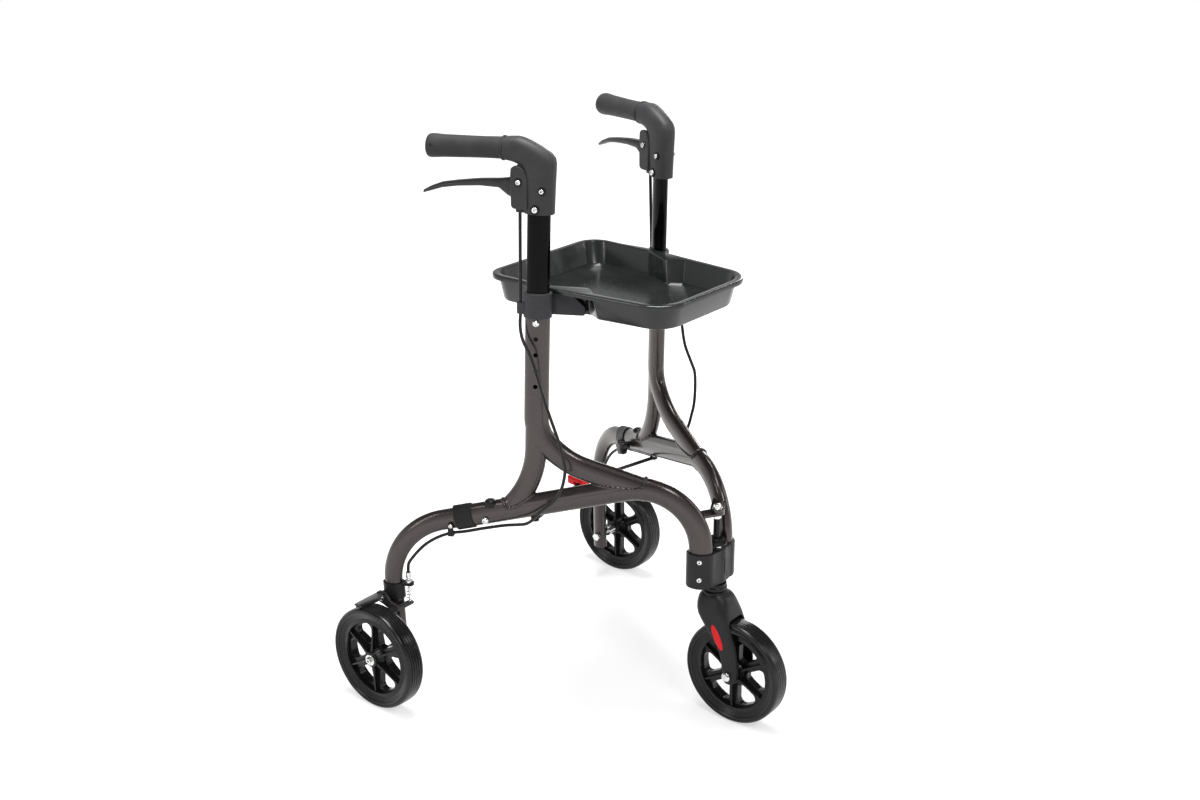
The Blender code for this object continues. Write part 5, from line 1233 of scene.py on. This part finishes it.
def shaded(colour, other, scale, rough, grain, strength, distance, metallic=0.0, coat=0.0, specular=0.5):
    """A recipe: two colours in a soft mottle, a roughness range and a grain."""

    def make(name):
        made, nodes, links, shader, place = start_material(name)
        mottle = noise(nodes, links, place, scale)
        even = spread(nodes, links, mottle, 0.0, 1.0)
        links.new(blended(nodes, links, even, colour, other), shader.inputs["Base Color"])
        links.new(spread(nodes, links, mottle, *rough), shader.inputs["Roughness"])
        shader.inputs["Metallic"].default_value = metallic
        shader.inputs["Specular IOR Level"].default_value = specular
        shader.inputs["Coat Weight"].default_value = coat
        shader.inputs["Coat Roughness"].default_value = 0.1
        bumped(nodes, links, shader, noise(nodes, links, place, grain, 4.0), strength, distance)
        return made

    return make


def flaked(dark, light, metallic, rough):
    """A recipe for metallic paint: fine flakes under a clear coat."""

    def make(name):
        made, nodes, links, shader, place = start_material(name)
        flake = nodes.new("ShaderNodeTexVoronoi")
        flake.inputs["Scale"].default_value = 2600.0
        links.new(place, flake.inputs["Vector"])
        cell = nodes.new("ShaderNodeSeparateColor")
        links.new(flake.outputs["Color"], cell.inputs["Color"])
        sparkle = spread(nodes, links, cell.outputs["Red"], 0.0, 1.0, 0.0, 1.0)
        links.new(blended(nodes, links, sparkle, dark, light), shader.inputs["Base Color"])
        links.new(spread(nodes, links, cell.outputs["Green"], *rough, 0.0, 1.0), shader.inputs["Roughness"])
        shader.inputs["Metallic"].default_value = metallic
        shader.inputs["Specular IOR Level"].default_value = 0.3
        shader.inputs["Coat Weight"].default_value = 0.5
        shader.inputs["Coat Roughness"].default_value = 0.09
        bumped(nodes, links, shader, noise(nodes, links, place, 260.0, 2.0), 0.12, 0.0002)
        return made

    return make


RECIPES = {"frame_paint": flaked((0.032, 0.0255, 0.0245), (0.066, 0.053, 0.050), 0.72, (0.27, 0.35)),
    "black_tube": shaded((0.001, 0.001, 0.001), (0.003, 0.003, 0.003), 60.0, (0.09, 0.14), 300.0, 0.04,
    0.0001, specular=0.09),
    "clamp_grey": shaded((0.034, 0.034, 0.038), (0.048, 0.048, 0.053), 45.0, (0.40, 0.52), 900.0, 0.3, 0.0002,
    specular=0.25),
    "black_plastic": shaded((0.008, 0.008, 0.009), (0.013, 0.013, 0.014), 50.0, (0.30, 0.42), 1100.0, 0.25,
    0.0002, specular=0.2),
    "fork_black": shaded((0.012, 0.012, 0.013), (0.018, 0.018, 0.020), 50.0, (0.34, 0.44), 1100.0, 0.2,
    0.0002, specular=0.22),
    "bracket_black": shaded((0.015, 0.015, 0.017), (0.022, 0.022, 0.024), 50.0, (0.38, 0.50), 1100.0, 0.25,
    0.0002, specular=0.22),
    "lever_black": shaded((0.028, 0.028, 0.030), (0.038, 0.038, 0.041), 50.0, (0.30, 0.42), 1100.0, 0.2,
    0.0002, specular=0.3),
    "housing_grey": shaded((0.036, 0.035, 0.037), (0.048, 0.047, 0.049), 45.0, (0.42, 0.54), 900.0, 0.3,
    0.0002, specular=0.25),
    "wheel_black": shaded((0.006, 0.006, 0.006), (0.010, 0.010, 0.010), 40.0, (0.2, 0.3), 1000.0, 0.1, 0.0002,
    specular=0.24),
    "tyre_rubber": shaded((0.008, 0.008, 0.008), (0.012, 0.012, 0.012), 30.0, (0.2, 0.28), 900.0, 0.12,
    0.0002, specular=0.3),
    "grip_rubber": shaded((0.034, 0.033, 0.034), (0.046, 0.045, 0.046), 45.0, (0.48, 0.6), 1200.0, 0.3,
    0.0003, specular=0.2),
    "tray_grey": shaded((0.013, 0.014, 0.0138), (0.018, 0.019, 0.0188), 25.0, (0.17, 0.23), 1300.0, 0.15,
    0.0001, specular=0.42),
    "zinc": shaded((0.58, 0.59, 0.58), (0.80, 0.81, 0.80), 150.0, (0.16, 0.3), 1500.0, 0.1, 0.0001, 1.0),
    "dark_steel": shaded((0.008, 0.008, 0.009), (0.016, 0.016, 0.018), 60.0, (0.3, 0.42), 800.0, 0.15, 0.0002,
    0.3, specular=0.2),
    "red_plastic": shaded((0.90, 0.010, 0.016), (1.0, 0.018, 0.026), 60.0, (0.26, 0.36), 600.0, 0.08, 0.0001,
    specular=0.25),
    "cable_black": shaded((0.008, 0.008, 0.008), (0.014, 0.014, 0.014), 80.0, (0.3, 0.42), 900.0, 0.1, 0.0001,
    specular=0.25)}
# Looks of their own that share a slot of the record.
made_materials = {}


def surface(slot):
    if slot not in made_materials:
        made_materials[slot] = RECIPES[slot](slot)
    return made_materials[slot]


# Putting pieces on the frame.


def piece(name, mesh, slot, body, *stands_for, bevel=0.0):
    """A mesh of the drawing frame, placed on the CAD frame and riding its body."""
    mesh.transform(Matrix.Translation((0.0, SHIFT_Y, 0.0)))
    mesh.name = name
    mesh.shade_smooth()
    mesh.set_sharp_from_angle(angle=math.radians(32))
    obj = bpy.data.objects.new(name, mesh)
    bpy.context.scene.collection.objects.link(obj)
    mesh.materials.clear()
    mesh.materials.append(surface(slot))
    if bevel:
        edge = obj.modifiers.new("edge", "BEVEL")
        edge.width = bevel * MM
        edge.segments = 2
        edge.limit_method = "ANGLE"
        edge.angle_limit = math.radians(40)
        edge.harden_normals = True
    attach(obj, body)
    if stands_for:
        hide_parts(*stands_for)
    return obj


def tube_piece(name, points, radius, slot, body, *stands_for, resolution=8):
    """A round cord of the drawing frame as a mesh piece."""
    curve = bpy.data.curves.new(name, "CURVE")
    curve.dimensions = "3D"
    curve.bevel_depth = radius * MM
    curve.bevel_resolution = resolution
    curve.use_fill_caps = True
    spline = curve.splines.new("POLY")
    spline.points.add(len(points) - 1)
    for knot, point in zip(spline.points, np.array(points)):
        knot.co = (*(point * MM), 1.0)
    holder = bpy.data.objects.new("holder", curve)
    bpy.context.scene.collection.objects.link(holder)
    graph = bpy.context.evaluated_depsgraph_get()
    mesh = bpy.data.meshes.new_from_object(holder.evaluated_get(graph))
    bpy.data.objects.remove(holder, do_unlink=True)
    return piece(name, mesh, slot, body, *stands_for)


def socketed(mesh, matrix, face, out, radius):
    """A bolt with a six-sided socket cut into its head, which looks out along the X axis."""
    x, y, z = face
    inner = matrix @ Vector((x - out * 1.8, y, z))
    outer = matrix @ Vector((x + out * 5.0, y, z))
    return cut(mesh, rod(radius, inner, outer, 6))


def stud(matrix, foot, out, radius, height):
    """A round-headed bolt standing out along the X axis of a frame."""
    x, y, z = foot
    shape = ((1.0, -1.2), (1.0, 0.35), (0.94, 0.6), (0.8, 0.82), (0.6, 0.95), (0.5, 1.0))
    profile = [(radius * wide, x + out * height * high) for wide, high in shape]
    head = moved(lathe(profile, 40, "X", (0.0, y, z)), matrix)
    return socketed(head, matrix, (x + out * height, y, z), out, radius * 0.42)


def dense(stations, spacing=4.0):
    """A route with stations added so that none lie further apart than the spacing."""
    filled = []
    for here, after in zip(stations, stations[1:]):
        pieces = max(1, round(math.dist(here[:2], after[:2]) / spacing))
        for k in range(pieces):
            filled.append(tuple(a + (b - a) * k / pieces for a, b in zip(here, after)))
    return filled + [stations[-1]]


def outside(point, host, half):
    """Above zero where a point of the side plane lies outside an oval tube along a route."""
    least = math.inf
    for s, z, heading in host:
        along = (point[1] - s) * math.cos(heading) + (point[2] - z) * math.sin(heading)
        if abs(along) > 5.0:
            continue
        plane = (point[2] - z) * math.cos(heading) - (point[1] - s) * math.sin(heading)
        least = min(least, (plane / half[0]) ** 2 + (point[0] / half[1]) ** 2 - 1)
    return least


def weld_bead(name, side, guest, guest_half, host, host_half):
    """A rippled bead where a tube first enters another that runs in the same plane."""
    host = dense(host)
    guest = dense(guest, 2.0)
    section = oval(guest_half[0], guest_half[1], WELD_POINTS)
    rails = np.array([across(station, section) for station in guest])
    path = []
    for k in range(WELD_POINTS):
        for point in rails[:, k]:
            if outside(point, host, host_half) < 0:
                break
        path.append(point)
    path = np.array(path)
    for _ in range(3):
        path = (np.roll(path, 1, axis=0) + 2 * path + np.roll(path, -1, axis=0)) / 4
    loops = []
    for k in range(WELD_POINTS):
        tangent = Vector(path[(k + 1) % WELD_POINTS] - path[k - 1]).normalized()
        sideways = tangent.cross(Vector((1.0, 0.0, 0.0)))
        sideways = sideways.normalized() if sideways.length > 0.3 else tangent.orthogonal().normalized()
        other = tangent.cross(sideways)
        radius = WELD_RADIUS + WELD_RIPPLE * abs(math.sin(math.pi * k / 3))
        turn = circle(radius, 12)
        loops.append(path[k] + turn[:, :1] * np.array(sideways) + turn[:, 1:] * np.array(other))
    bead = moved(loft(loops, ring=True), side_matrix(side))
    piece(name, bead, "frame_paint", f"{LABELS[side]}_side")


WELD_POINTS = 144
WELD_RADIUS = 2.3
WELD_RIPPLE = 0.8
LABELS = {-1: "right", 1: "left"}


def washer(matrix, foot, out, radius, height):
    """A round disc lying against a face that looks out along the X axis."""
    x, y, z = foot
    profile = [(radius, x - out * 1.5), (radius, x + out * height * 0.6), (radius * 0.9, x + out * height)]
    return moved(lathe(profile, 48, "X", (0.0, y, z)), matrix)


def dress_middle():
    piece("column", column_tube(), "dark_steel", "column", "column_tube", bevel=0.4)
    piece("top_bolt", hinge_bolt(), "zinc", "column", "hinge_bolt", bevel=0.4)
    collar = [(13.1, 215.3), (17.6, 215.3), (18.6, 216.6), (18.6, 220.6), (17.4, 222.0), (17.4, 226.8),
        (13.1, 226.8)]
    piece("column_foot", lathe(collar, 96, ring=True), "black_plastic", "column", bevel=0.3)
    nut = cut(hexagon(26.0, 289.3, 292.7), rod(13.1, (0.0, 0.0, 280.0), (0.0, 0.0, 300.0)))
    piece("column_nut", nut, "zinc", "column", bevel=0.4)
    knurl = []
    for z, radius in ((296.3, 10.0), (297.0, 11.5), (301.5, 11.5), (302.4, 10.4)):
        turns = np.arange(192) * 2 * math.pi / 192
        wave = radius + 0.35 * np.sign(np.sin(24 * turns))
        knurl.append(at_level(np.column_stack([wave * np.cos(turns), wave * np.sin(turns)]), z))
    piece("column_knurl", loft(knurl), "dark_steel", "column")
    turn = caster_matrix()
    piece("fork", moved(caster_fork(), turn), "fork_black", "caster", "caster_fork", bevel=1.2)
    stem = rod(STEM_RADIUS, (0.0, 0.0, STEM_FOOT_Z), (0.0, 0.0, STEM_TOP_Z))
    piece("stem", stem, "zinc", "caster", "fork_stem", bevel=0.4)
    for face, label in ((-1, "right"), (1, "left")):
        inlay = inlay_shape(face, 0.0, FORK_OUTSIDE - INLAY_DEPTH + GAP, FORK_OUTSIDE + 0.4)
        piece(f"inlay_{label}", moved(inlay, turn), "red_plastic", "caster", f"fork_inlay_{label}", bevel=0.5)
    piece("front_bolt", moved(front_axle(), turn), "zinc", "caster", "front_axle", bevel=0.4)
    to_wheel = caster_matrix()
    to_wheel.translation = turn @ Vector((0.0, -CASTER_TRAIL, WHEEL_RADIUS))
    piece("front_wheel_rim", moved(wheel_rim(), to_wheel), "wheel_black", "front_wheel", "front_rim",
        bevel=0.7)
    piece("front_wheel_tyre", moved(wheel_tyre(), to_wheel), "tyre_rubber", "front_wheel", "front_tyre")
    piece("tray_shell", tray(), "tray_grey", "tray", "tray")


def star_knob():
    """A hand knob with five lobes on the inner end of the leg bolt."""
    turns = np.arange(120) * 2 * math.pi / 120
    loops = []
    for x, radius, depth in KNOB_PROFILE:
        reach = radius + depth * np.cos(5 * turns)
        loops.append(np.column_stack([np.full(120, x), LEG_BOLT[0] + reach * np.cos(turns),
            LEG_BOLT[1] + reach * np.sin(turns)]))
    return loft(loops)


KNOB_PROFILE = [(-32.0, 6.0, 0.0), (-31.6, 9.5, 1.2), (-30.0, 12.6, 2.0), (-27.0, 13.6, 2.2),
    (-21.0, 13.0, 2.0), (-19.0, 10.5, 1.2), (-18.4, 7.5, 0.0), (-12.3, 7.0, 0.0)]


def dress_frame(side, label, body):
    matrix = side_matrix(side)
    weld_bead(f"weld_rear_{label}", side, rear_stay_route(), REAR_STAY_HALF, beam_route(), BEAM_HALF)
    stay = front_stay_route()
    weld_bead(f"weld_front_{label}", side, stay[len(stay) // 2 :], FRONT_STAY_HALF, beam_route(), BEAM_HALF)
    bolt = cap_screw(side, (-3.0, *LEG_BOLT), 12.4, 3.0, 5.4, 4.0)
    bolt = socketed(bolt, matrix, (16.4, *LEG_BOLT), 1, 2.4)
    piece(f"bolt_of_leg_{label}", bolt, "zinc", body, f"leg_bolt_{label}", bevel=0.4)
    piece(f"knob_{label}", moved(star_knob(), matrix), "wheel_black", body)
    dome = lathe([(9.5, 340.0), (9.5, 347.0), (8.8, 348.8), (6.8, 350.5), (3.6, 351.6), (1.0, 351.9)], 48,
        "Z", (3.0, 322.0, 0.0))
    piece(f"beam_plug_{label}", moved(dome, matrix), "black_plastic", body)
    for number, z in enumerate((275.4, 245.3)):
        foot = (BEAM_HALF[1] + GAP + KNUCKLE_WALL - 0.1, STUB_S, z)
        piece(f"rivet_{number}_{label}", stud(matrix, foot, 1, 3.8, 1.5), "zinc", body)
    screw = lock_screw(side)
    screw = socketed(screw, matrix, (16.6, upright_s(hole_heights()[0]), hole_heights()[0]), 1, 2.2)
    piece(f"screw_{label}", screw, "zinc", body, f"lock_screw_{label}", bevel=0.4)
    piece(f"brace_bolt_{label}", brace_bolt(side), "zinc", body, bevel=0.4)


def dress_handle(side, label, handle):
    matrix = handle_matrix(side)
    out = -side
    u, z = LEVER_PIVOT
    for way in (-1, 1):
        ring = washer(matrix, (way * (LUG_OUTSIDE - 0.2), u, z), way, 6.8, 0.45)
        piece(f"pivot_ring_{way + 2}_{label}", ring, "dark_steel", handle)
    pin = socketed(lever_pivot(side), matrix, (out * (LUG_OUTSIDE + 2.8), u, z), out, 1.8)
    piece(f"pin_{label}", pin, "zinc", handle, f"lever_pivot_{label}", bevel=0.3)
    for number, (place, height, radius) in enumerate(HANDLE_BOLTS):
        foot = (out * 15.2, place, height)
        piece(f"housing_ring_{number}_{label}", washer(matrix, foot, out, radius + 2.6, 0.9), "dark_steel",
            handle)
        bolt = stud(matrix, (out * 15.9, place, height), out, radius, 2.0)
        piece(f"housing_bolt_{number}_{label}", bolt, "zinc", handle)
        back = stud(matrix, (-out * 15.0, place, height), -out, radius + 0.6, 3.0)
        piece(f"housing_back_{number}_{label}", back, "zinc" if number else "black_plastic", handle)


def dress_brake(side, label, body):
    mirror = mirror_matrix(side)
    y, z = BRAKE_PIVOT
    bolt = socketed(brake_pivot(side), mirror, (BRAKE_PLATE_X[1] + GAP + 4.0, y, z), 1, 2.4)
    piece(f"brake_bolt_{label}", bolt, "zinc", body, f"brake_pivot_{label}", bevel=0.4)
    upper = smooth_route(upper_cable_points(side), 5.0)
    shown = tube_piece(f"cable_top_{label}", upper, CABLE_RADIUS, "cable_black", body, f"upper_cable_{label}")
    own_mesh(shown)
    lower = smooth_route(lower_cable_points(side), 4.0)
    tube_piece(f"cable_long_{label}", lower, CABLE_RADIUS, "cable_black", body, f"lower_cable_{label}")
    wound = smooth_route(spring_points(side), 0.6)
    spring = tube_piece(f"spring_{label}", wound, SPRING_WIRE, "zinc", body, f"brake_spring_{label}",
        resolution=5)
    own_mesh(spring)
    inner = rod(0.8, side_point(side, 0.0, WIRE_S, SPRING_Z[0] + 2.0),
        side_point(side, 0.0, WIRE_S, SPRING_Z[1] + 2.0))
    shown = piece(f"wire_{label}", inner, "zinc", body)
    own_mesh(shown)
    matrix = side_matrix(side)
    s, z, low = LEG_CLIP
    strap = slab([(s - 4.5, low, 4.0), (s + 4.5, low, 4.0), (s + 4.5, z + 5.0, 4.0), (s - 4.5, z + 5.0, 4.0)],
        11.9, 13.3, "X", 0.3)
    loop = rod(3.9, (8.0, s - 4.4, low + 3.8), (8.0, s + 4.4, low + 1.4))
    bridge = box((8.0, s - 4.4, low - 0.8), (13.2, s + 4.4, low + 1.0))
    piece(f"cable_clip_{label}", moved(joined(strap, loop, bridge), matrix), "black_plastic", body, bevel=0.4)
    piece(f"clip_bolt_{label}", stud(matrix, (13.3, s, z), 1, 3.4, 2.0), "zinc", body)


# Name, shape, look, body, node and bevel of what each side has.
SIDE_PIECES = [("frame", side_frame, "frame_paint", "side", "side_frame", 0.4),
    ("leg", rear_leg, "frame_paint", "side", "rear_leg", 0.5),
    ("sleeve", leg_sleeve, "black_plastic", "side", "leg_sleeve", 0.3),
    ("bracket", front_bracket, "bracket_black", "side", "front_bracket", 1.0),
    ("hook", clamp_hook, "clamp_grey", "side", "clamp_hook", 0.8),
    ("brace", fold_brace, "dark_steel", "side", "fold_brace", 0.2),
    ("adjuster", cable_adjuster, "zinc", "side", "cable_adjuster", 0.3),
    ("brake_band", brake_bracket, "black_plastic", "side", "brake_bracket", 0.8),
    ("post", handle_tube, "black_tube", "handle", "handle_tube", 0.0),
    ("housing", grip_housing, "housing_grey", "handle", "grip_housing", 0.9),
    ("hand_grip", grip, "grip_rubber", "handle", "grip", 0.0),
    ("lever", brake_lever, "lever_black", "lever", "brake_lever", 0.5),
    ("arm", brake_arm, "lever_black", "brake", "brake_arm", 0.5),
    ("shoe", brake_shoe, "black_plastic", "brake", "brake_shoe", 0.6)]


def dress_side(side, label):
    for name, shape, slot, part, node, edge in SIDE_PIECES:
        piece(f"{name}_{label}", shape(side), slot, f"{label}_{part}", f"{node}_{label}", bevel=edge)
    body = f"{label}_side"
    dress_frame(side, label, body)
    if side < 0:
        piece("red_pull", fold_release(), "red_plastic", body, "fold_release", bevel=0.5)
    dress_handle(side, label, f"{label}_handle")
    dress_brake(side, label, body)
    to_wheel = Matrix.Translation(Vector((side * REAR_WHEEL[0], REAR_WHEEL[1], WHEEL_RADIUS)))
    to_wheel = to_wheel @ mirror_matrix(side)
    wheel = f"{label}_wheel"
    piece(f"rim_{label}", moved(wheel_rim(), to_wheel), "wheel_black", wheel, f"rear_rim_{label}", bevel=0.7)
    piece(f"tyre_{label}", moved(wheel_tyre(), to_wheel), "tyre_rubber", wheel, f"rear_tyre_{label}")
    axle = socketed(rear_axle(side), mirror_matrix(side),
        (REAR_WHEEL[0] + HUB_HALF + 6.0, REAR_WHEEL[1], WHEEL_RADIUS), 1, 2.6)
    piece(f"axle_{label}", axle, "zinc", body, f"rear_axle_{label}", bevel=0.4)


# Handle bolts as rearward place, height and radius, and the cable clip on the leg.
HANDLE_BOLTS = [(-9.0, 843.4, 3.7), (1.6, 815.6, 4.4)]
LEG_CLIP = (385.0, 304.7, 288.0)


# Floor, light and camera.


def seen_by_rays(nodes, links):
    """One for what the camera, mirrors and glass see, and nought for the light on the object."""
    path = nodes.new("ShaderNodeLightPath")
    value = path.outputs["Is Camera Ray"]
    for ray in ("Is Glossy Ray", "Is Transmission Ray"):
        either = nodes.new("ShaderNodeMath")
        either.operation = "MAXIMUM"
        links.new(value, either.inputs[0])
        links.new(path.outputs[ray], either.inputs[1])
        value = either.outputs["Value"]
    return value


def floor_material():
    """White to the camera and to mirrors, with the object's shadow kept, and darker for the light."""
    made = bpy.data.materials.new("floor_pale")
    made.use_nodes = True
    nodes = made.node_tree.nodes
    links = made.node_tree.links
    nodes.clear()
    place = nodes.new("ShaderNodeTexCoord")
    reach = nodes.new("ShaderNodeVectorMath")
    reach.operation = "LENGTH"
    links.new(place.outputs["Object"], reach.inputs[0])
    glow = nodes.new("ShaderNodeEmission")
    strength = spread(nodes, links, reach.outputs["Value"], *FLOOR_GLOW, *FLOOR_FADE)
    links.new(strength, glow.inputs["Strength"])
    shade = nodes.new("ShaderNodeBsdfDiffuse")
    shade.inputs["Color"].default_value = (*[FLOOR_SHADE] * 3, 1.0)
    shown = nodes.new("ShaderNodeAddShader")
    links.new(glow.outputs["Emission"], shown.inputs[0])
    links.new(shade.outputs["BSDF"], shown.inputs[1])
    dim = nodes.new("ShaderNodeBsdfDiffuse")
    dim.inputs["Color"].default_value = (0.4, 0.4, 0.4, 1.0)
    mix = nodes.new("ShaderNodeMixShader")
    links.new(seen_by_rays(nodes, links), mix.inputs["Fac"])
    links.new(dim.outputs["BSDF"], mix.inputs[1])
    links.new(shown.outputs["Shader"], mix.inputs[2])
    out = nodes.new("ShaderNodeOutputMaterial")
    links.new(mix.outputs["Shader"], out.inputs["Surface"])
    return made


def studio_world():
    """White at and below the horizon and darker above it for the camera and mirrors, dim for the light."""
    world = bpy.context.scene.world or bpy.data.worlds.new("world")
    bpy.context.scene.world = world
    world.use_nodes = True
    nodes = world.node_tree.nodes
    links = world.node_tree.links
    nodes.clear()
    place = nodes.new("ShaderNodeTexCoord")
    split = nodes.new("ShaderNodeSeparateXYZ")
    links.new(place.outputs["Generated"], split.inputs["Vector"])
    fall = spread(nodes, links, split.outputs["Z"], 1.0, SKY_TOP, *SKY_FADE)
    bright = nodes.new("ShaderNodeBackground")
    links.new(fall, bright.inputs["Strength"])
    dim = nodes.new("ShaderNodeBackground")
    dim.inputs["Strength"].default_value = SKY_LIGHT
    for background in (bright, dim):
        background.inputs["Color"].default_value = (1.0, 1.0, 1.0, 1.0)
    mix = nodes.new("ShaderNodeMixShader")
    links.new(seen_by_rays(nodes, links), mix.inputs["Fac"])
    links.new(dim.outputs["Background"], mix.inputs[1])
    links.new(bright.outputs["Background"], mix.inputs[2])
    out = nodes.new("ShaderNodeOutputWorld")
    links.new(mix.outputs["Shader"], out.inputs["Surface"])


def area_light(name, place, target, size, power):
    data = bpy.data.lights.new(name, "AREA")
    data.shape = "RECTANGLE"
    data.size, data.size_y = size
    data.energy = power
    lamp = bpy.data.objects.new(name, data)
    bpy.context.scene.collection.objects.link(lamp)
    lamp.location = place
    direction = Vector(target) - Vector(place)
    lamp.rotation_euler = direction.to_track_quat("-Z", "Y").to_euler()


def stage():
    bpy.ops.mesh.primitive_plane_add(size=16.0, location=(0.0, 0.0, -0.0004))
    floor = bpy.context.object
    floor.name = "floor"
    floor.data.materials.append(floor_material())
    studio_world()
    for name, place, target, size, power in LAMPS:
        area_light(name, place, target, size, power)
    camera = bpy.data.cameras.new("camera")
    camera.lens = LENS
    camera.sensor_width = 36.0
    camera.sensor_fit = "HORIZONTAL"
    camera.dof.use_dof = False
    camera.clip_start = 0.05
    camera.clip_end = 60.0
    holder = bpy.data.objects.new("camera", camera)
    bpy.context.scene.collection.objects.link(holder)
    holder.location = (CAMERA_PLACE[0], CAMERA_PLACE[1] + SHIFT_Y, CAMERA_PLACE[2])
    holder.rotation_euler = (math.radians(90.0 - CAMERA_HEIGHT), 0.0, math.radians(CAMERA_TURN))
    bpy.context.scene.camera = holder
    bpy.context.scene.view_settings.view_transform = "Standard"


FLOOR_GLOW = (0.56, 1.0)
FLOOR_SHADE = 0.5
FLOOR_FADE = (0.25, 1.15)
SKY_FADE = (0.12, 0.5)
SKY_TOP = 0.1
SKY_LIGHT = 0.25
LAMPS = [("top", (0.3, 0.2, 3.2), (0.0, 0.1, 0.4), (1.1, 1.5), 84.0),
    ("key", (-1.3, -2.6, 3.0), (0.0, 0.0, 0.45), (0.9, 0.9), 38.0),
    ("near_top", (-1.0, -0.3, 2.9), (-0.2, 0.0, 0.35), (0.4, 1.4), 26.0),
    ("left_strip", (-2.9, 1.1, 1.6), (0.0, 0.1, 0.5), (0.3, 1.8), 14.0),
    ("right_strip", (1.9, -2.2, 1.5), (0.0, 0.0, 0.45), (0.3, 1.8), 16.0),
    ("back", (3.0, 1.1, 1.5), (0.0, 0.0, 0.35), (0.6, 1.4), 22.0)]

# Camera solved from the photograph.
CAMERA_PLACE = (-1.9478, -1.3045, 1.4093)
CAMERA_TURN = -51.80
CAMERA_HEIGHT = 20.67
LENS = 50.26

dress_middle()
for side, label in ((-1, "right"), (1, "left")):
    dress_side(side, label)
stage()
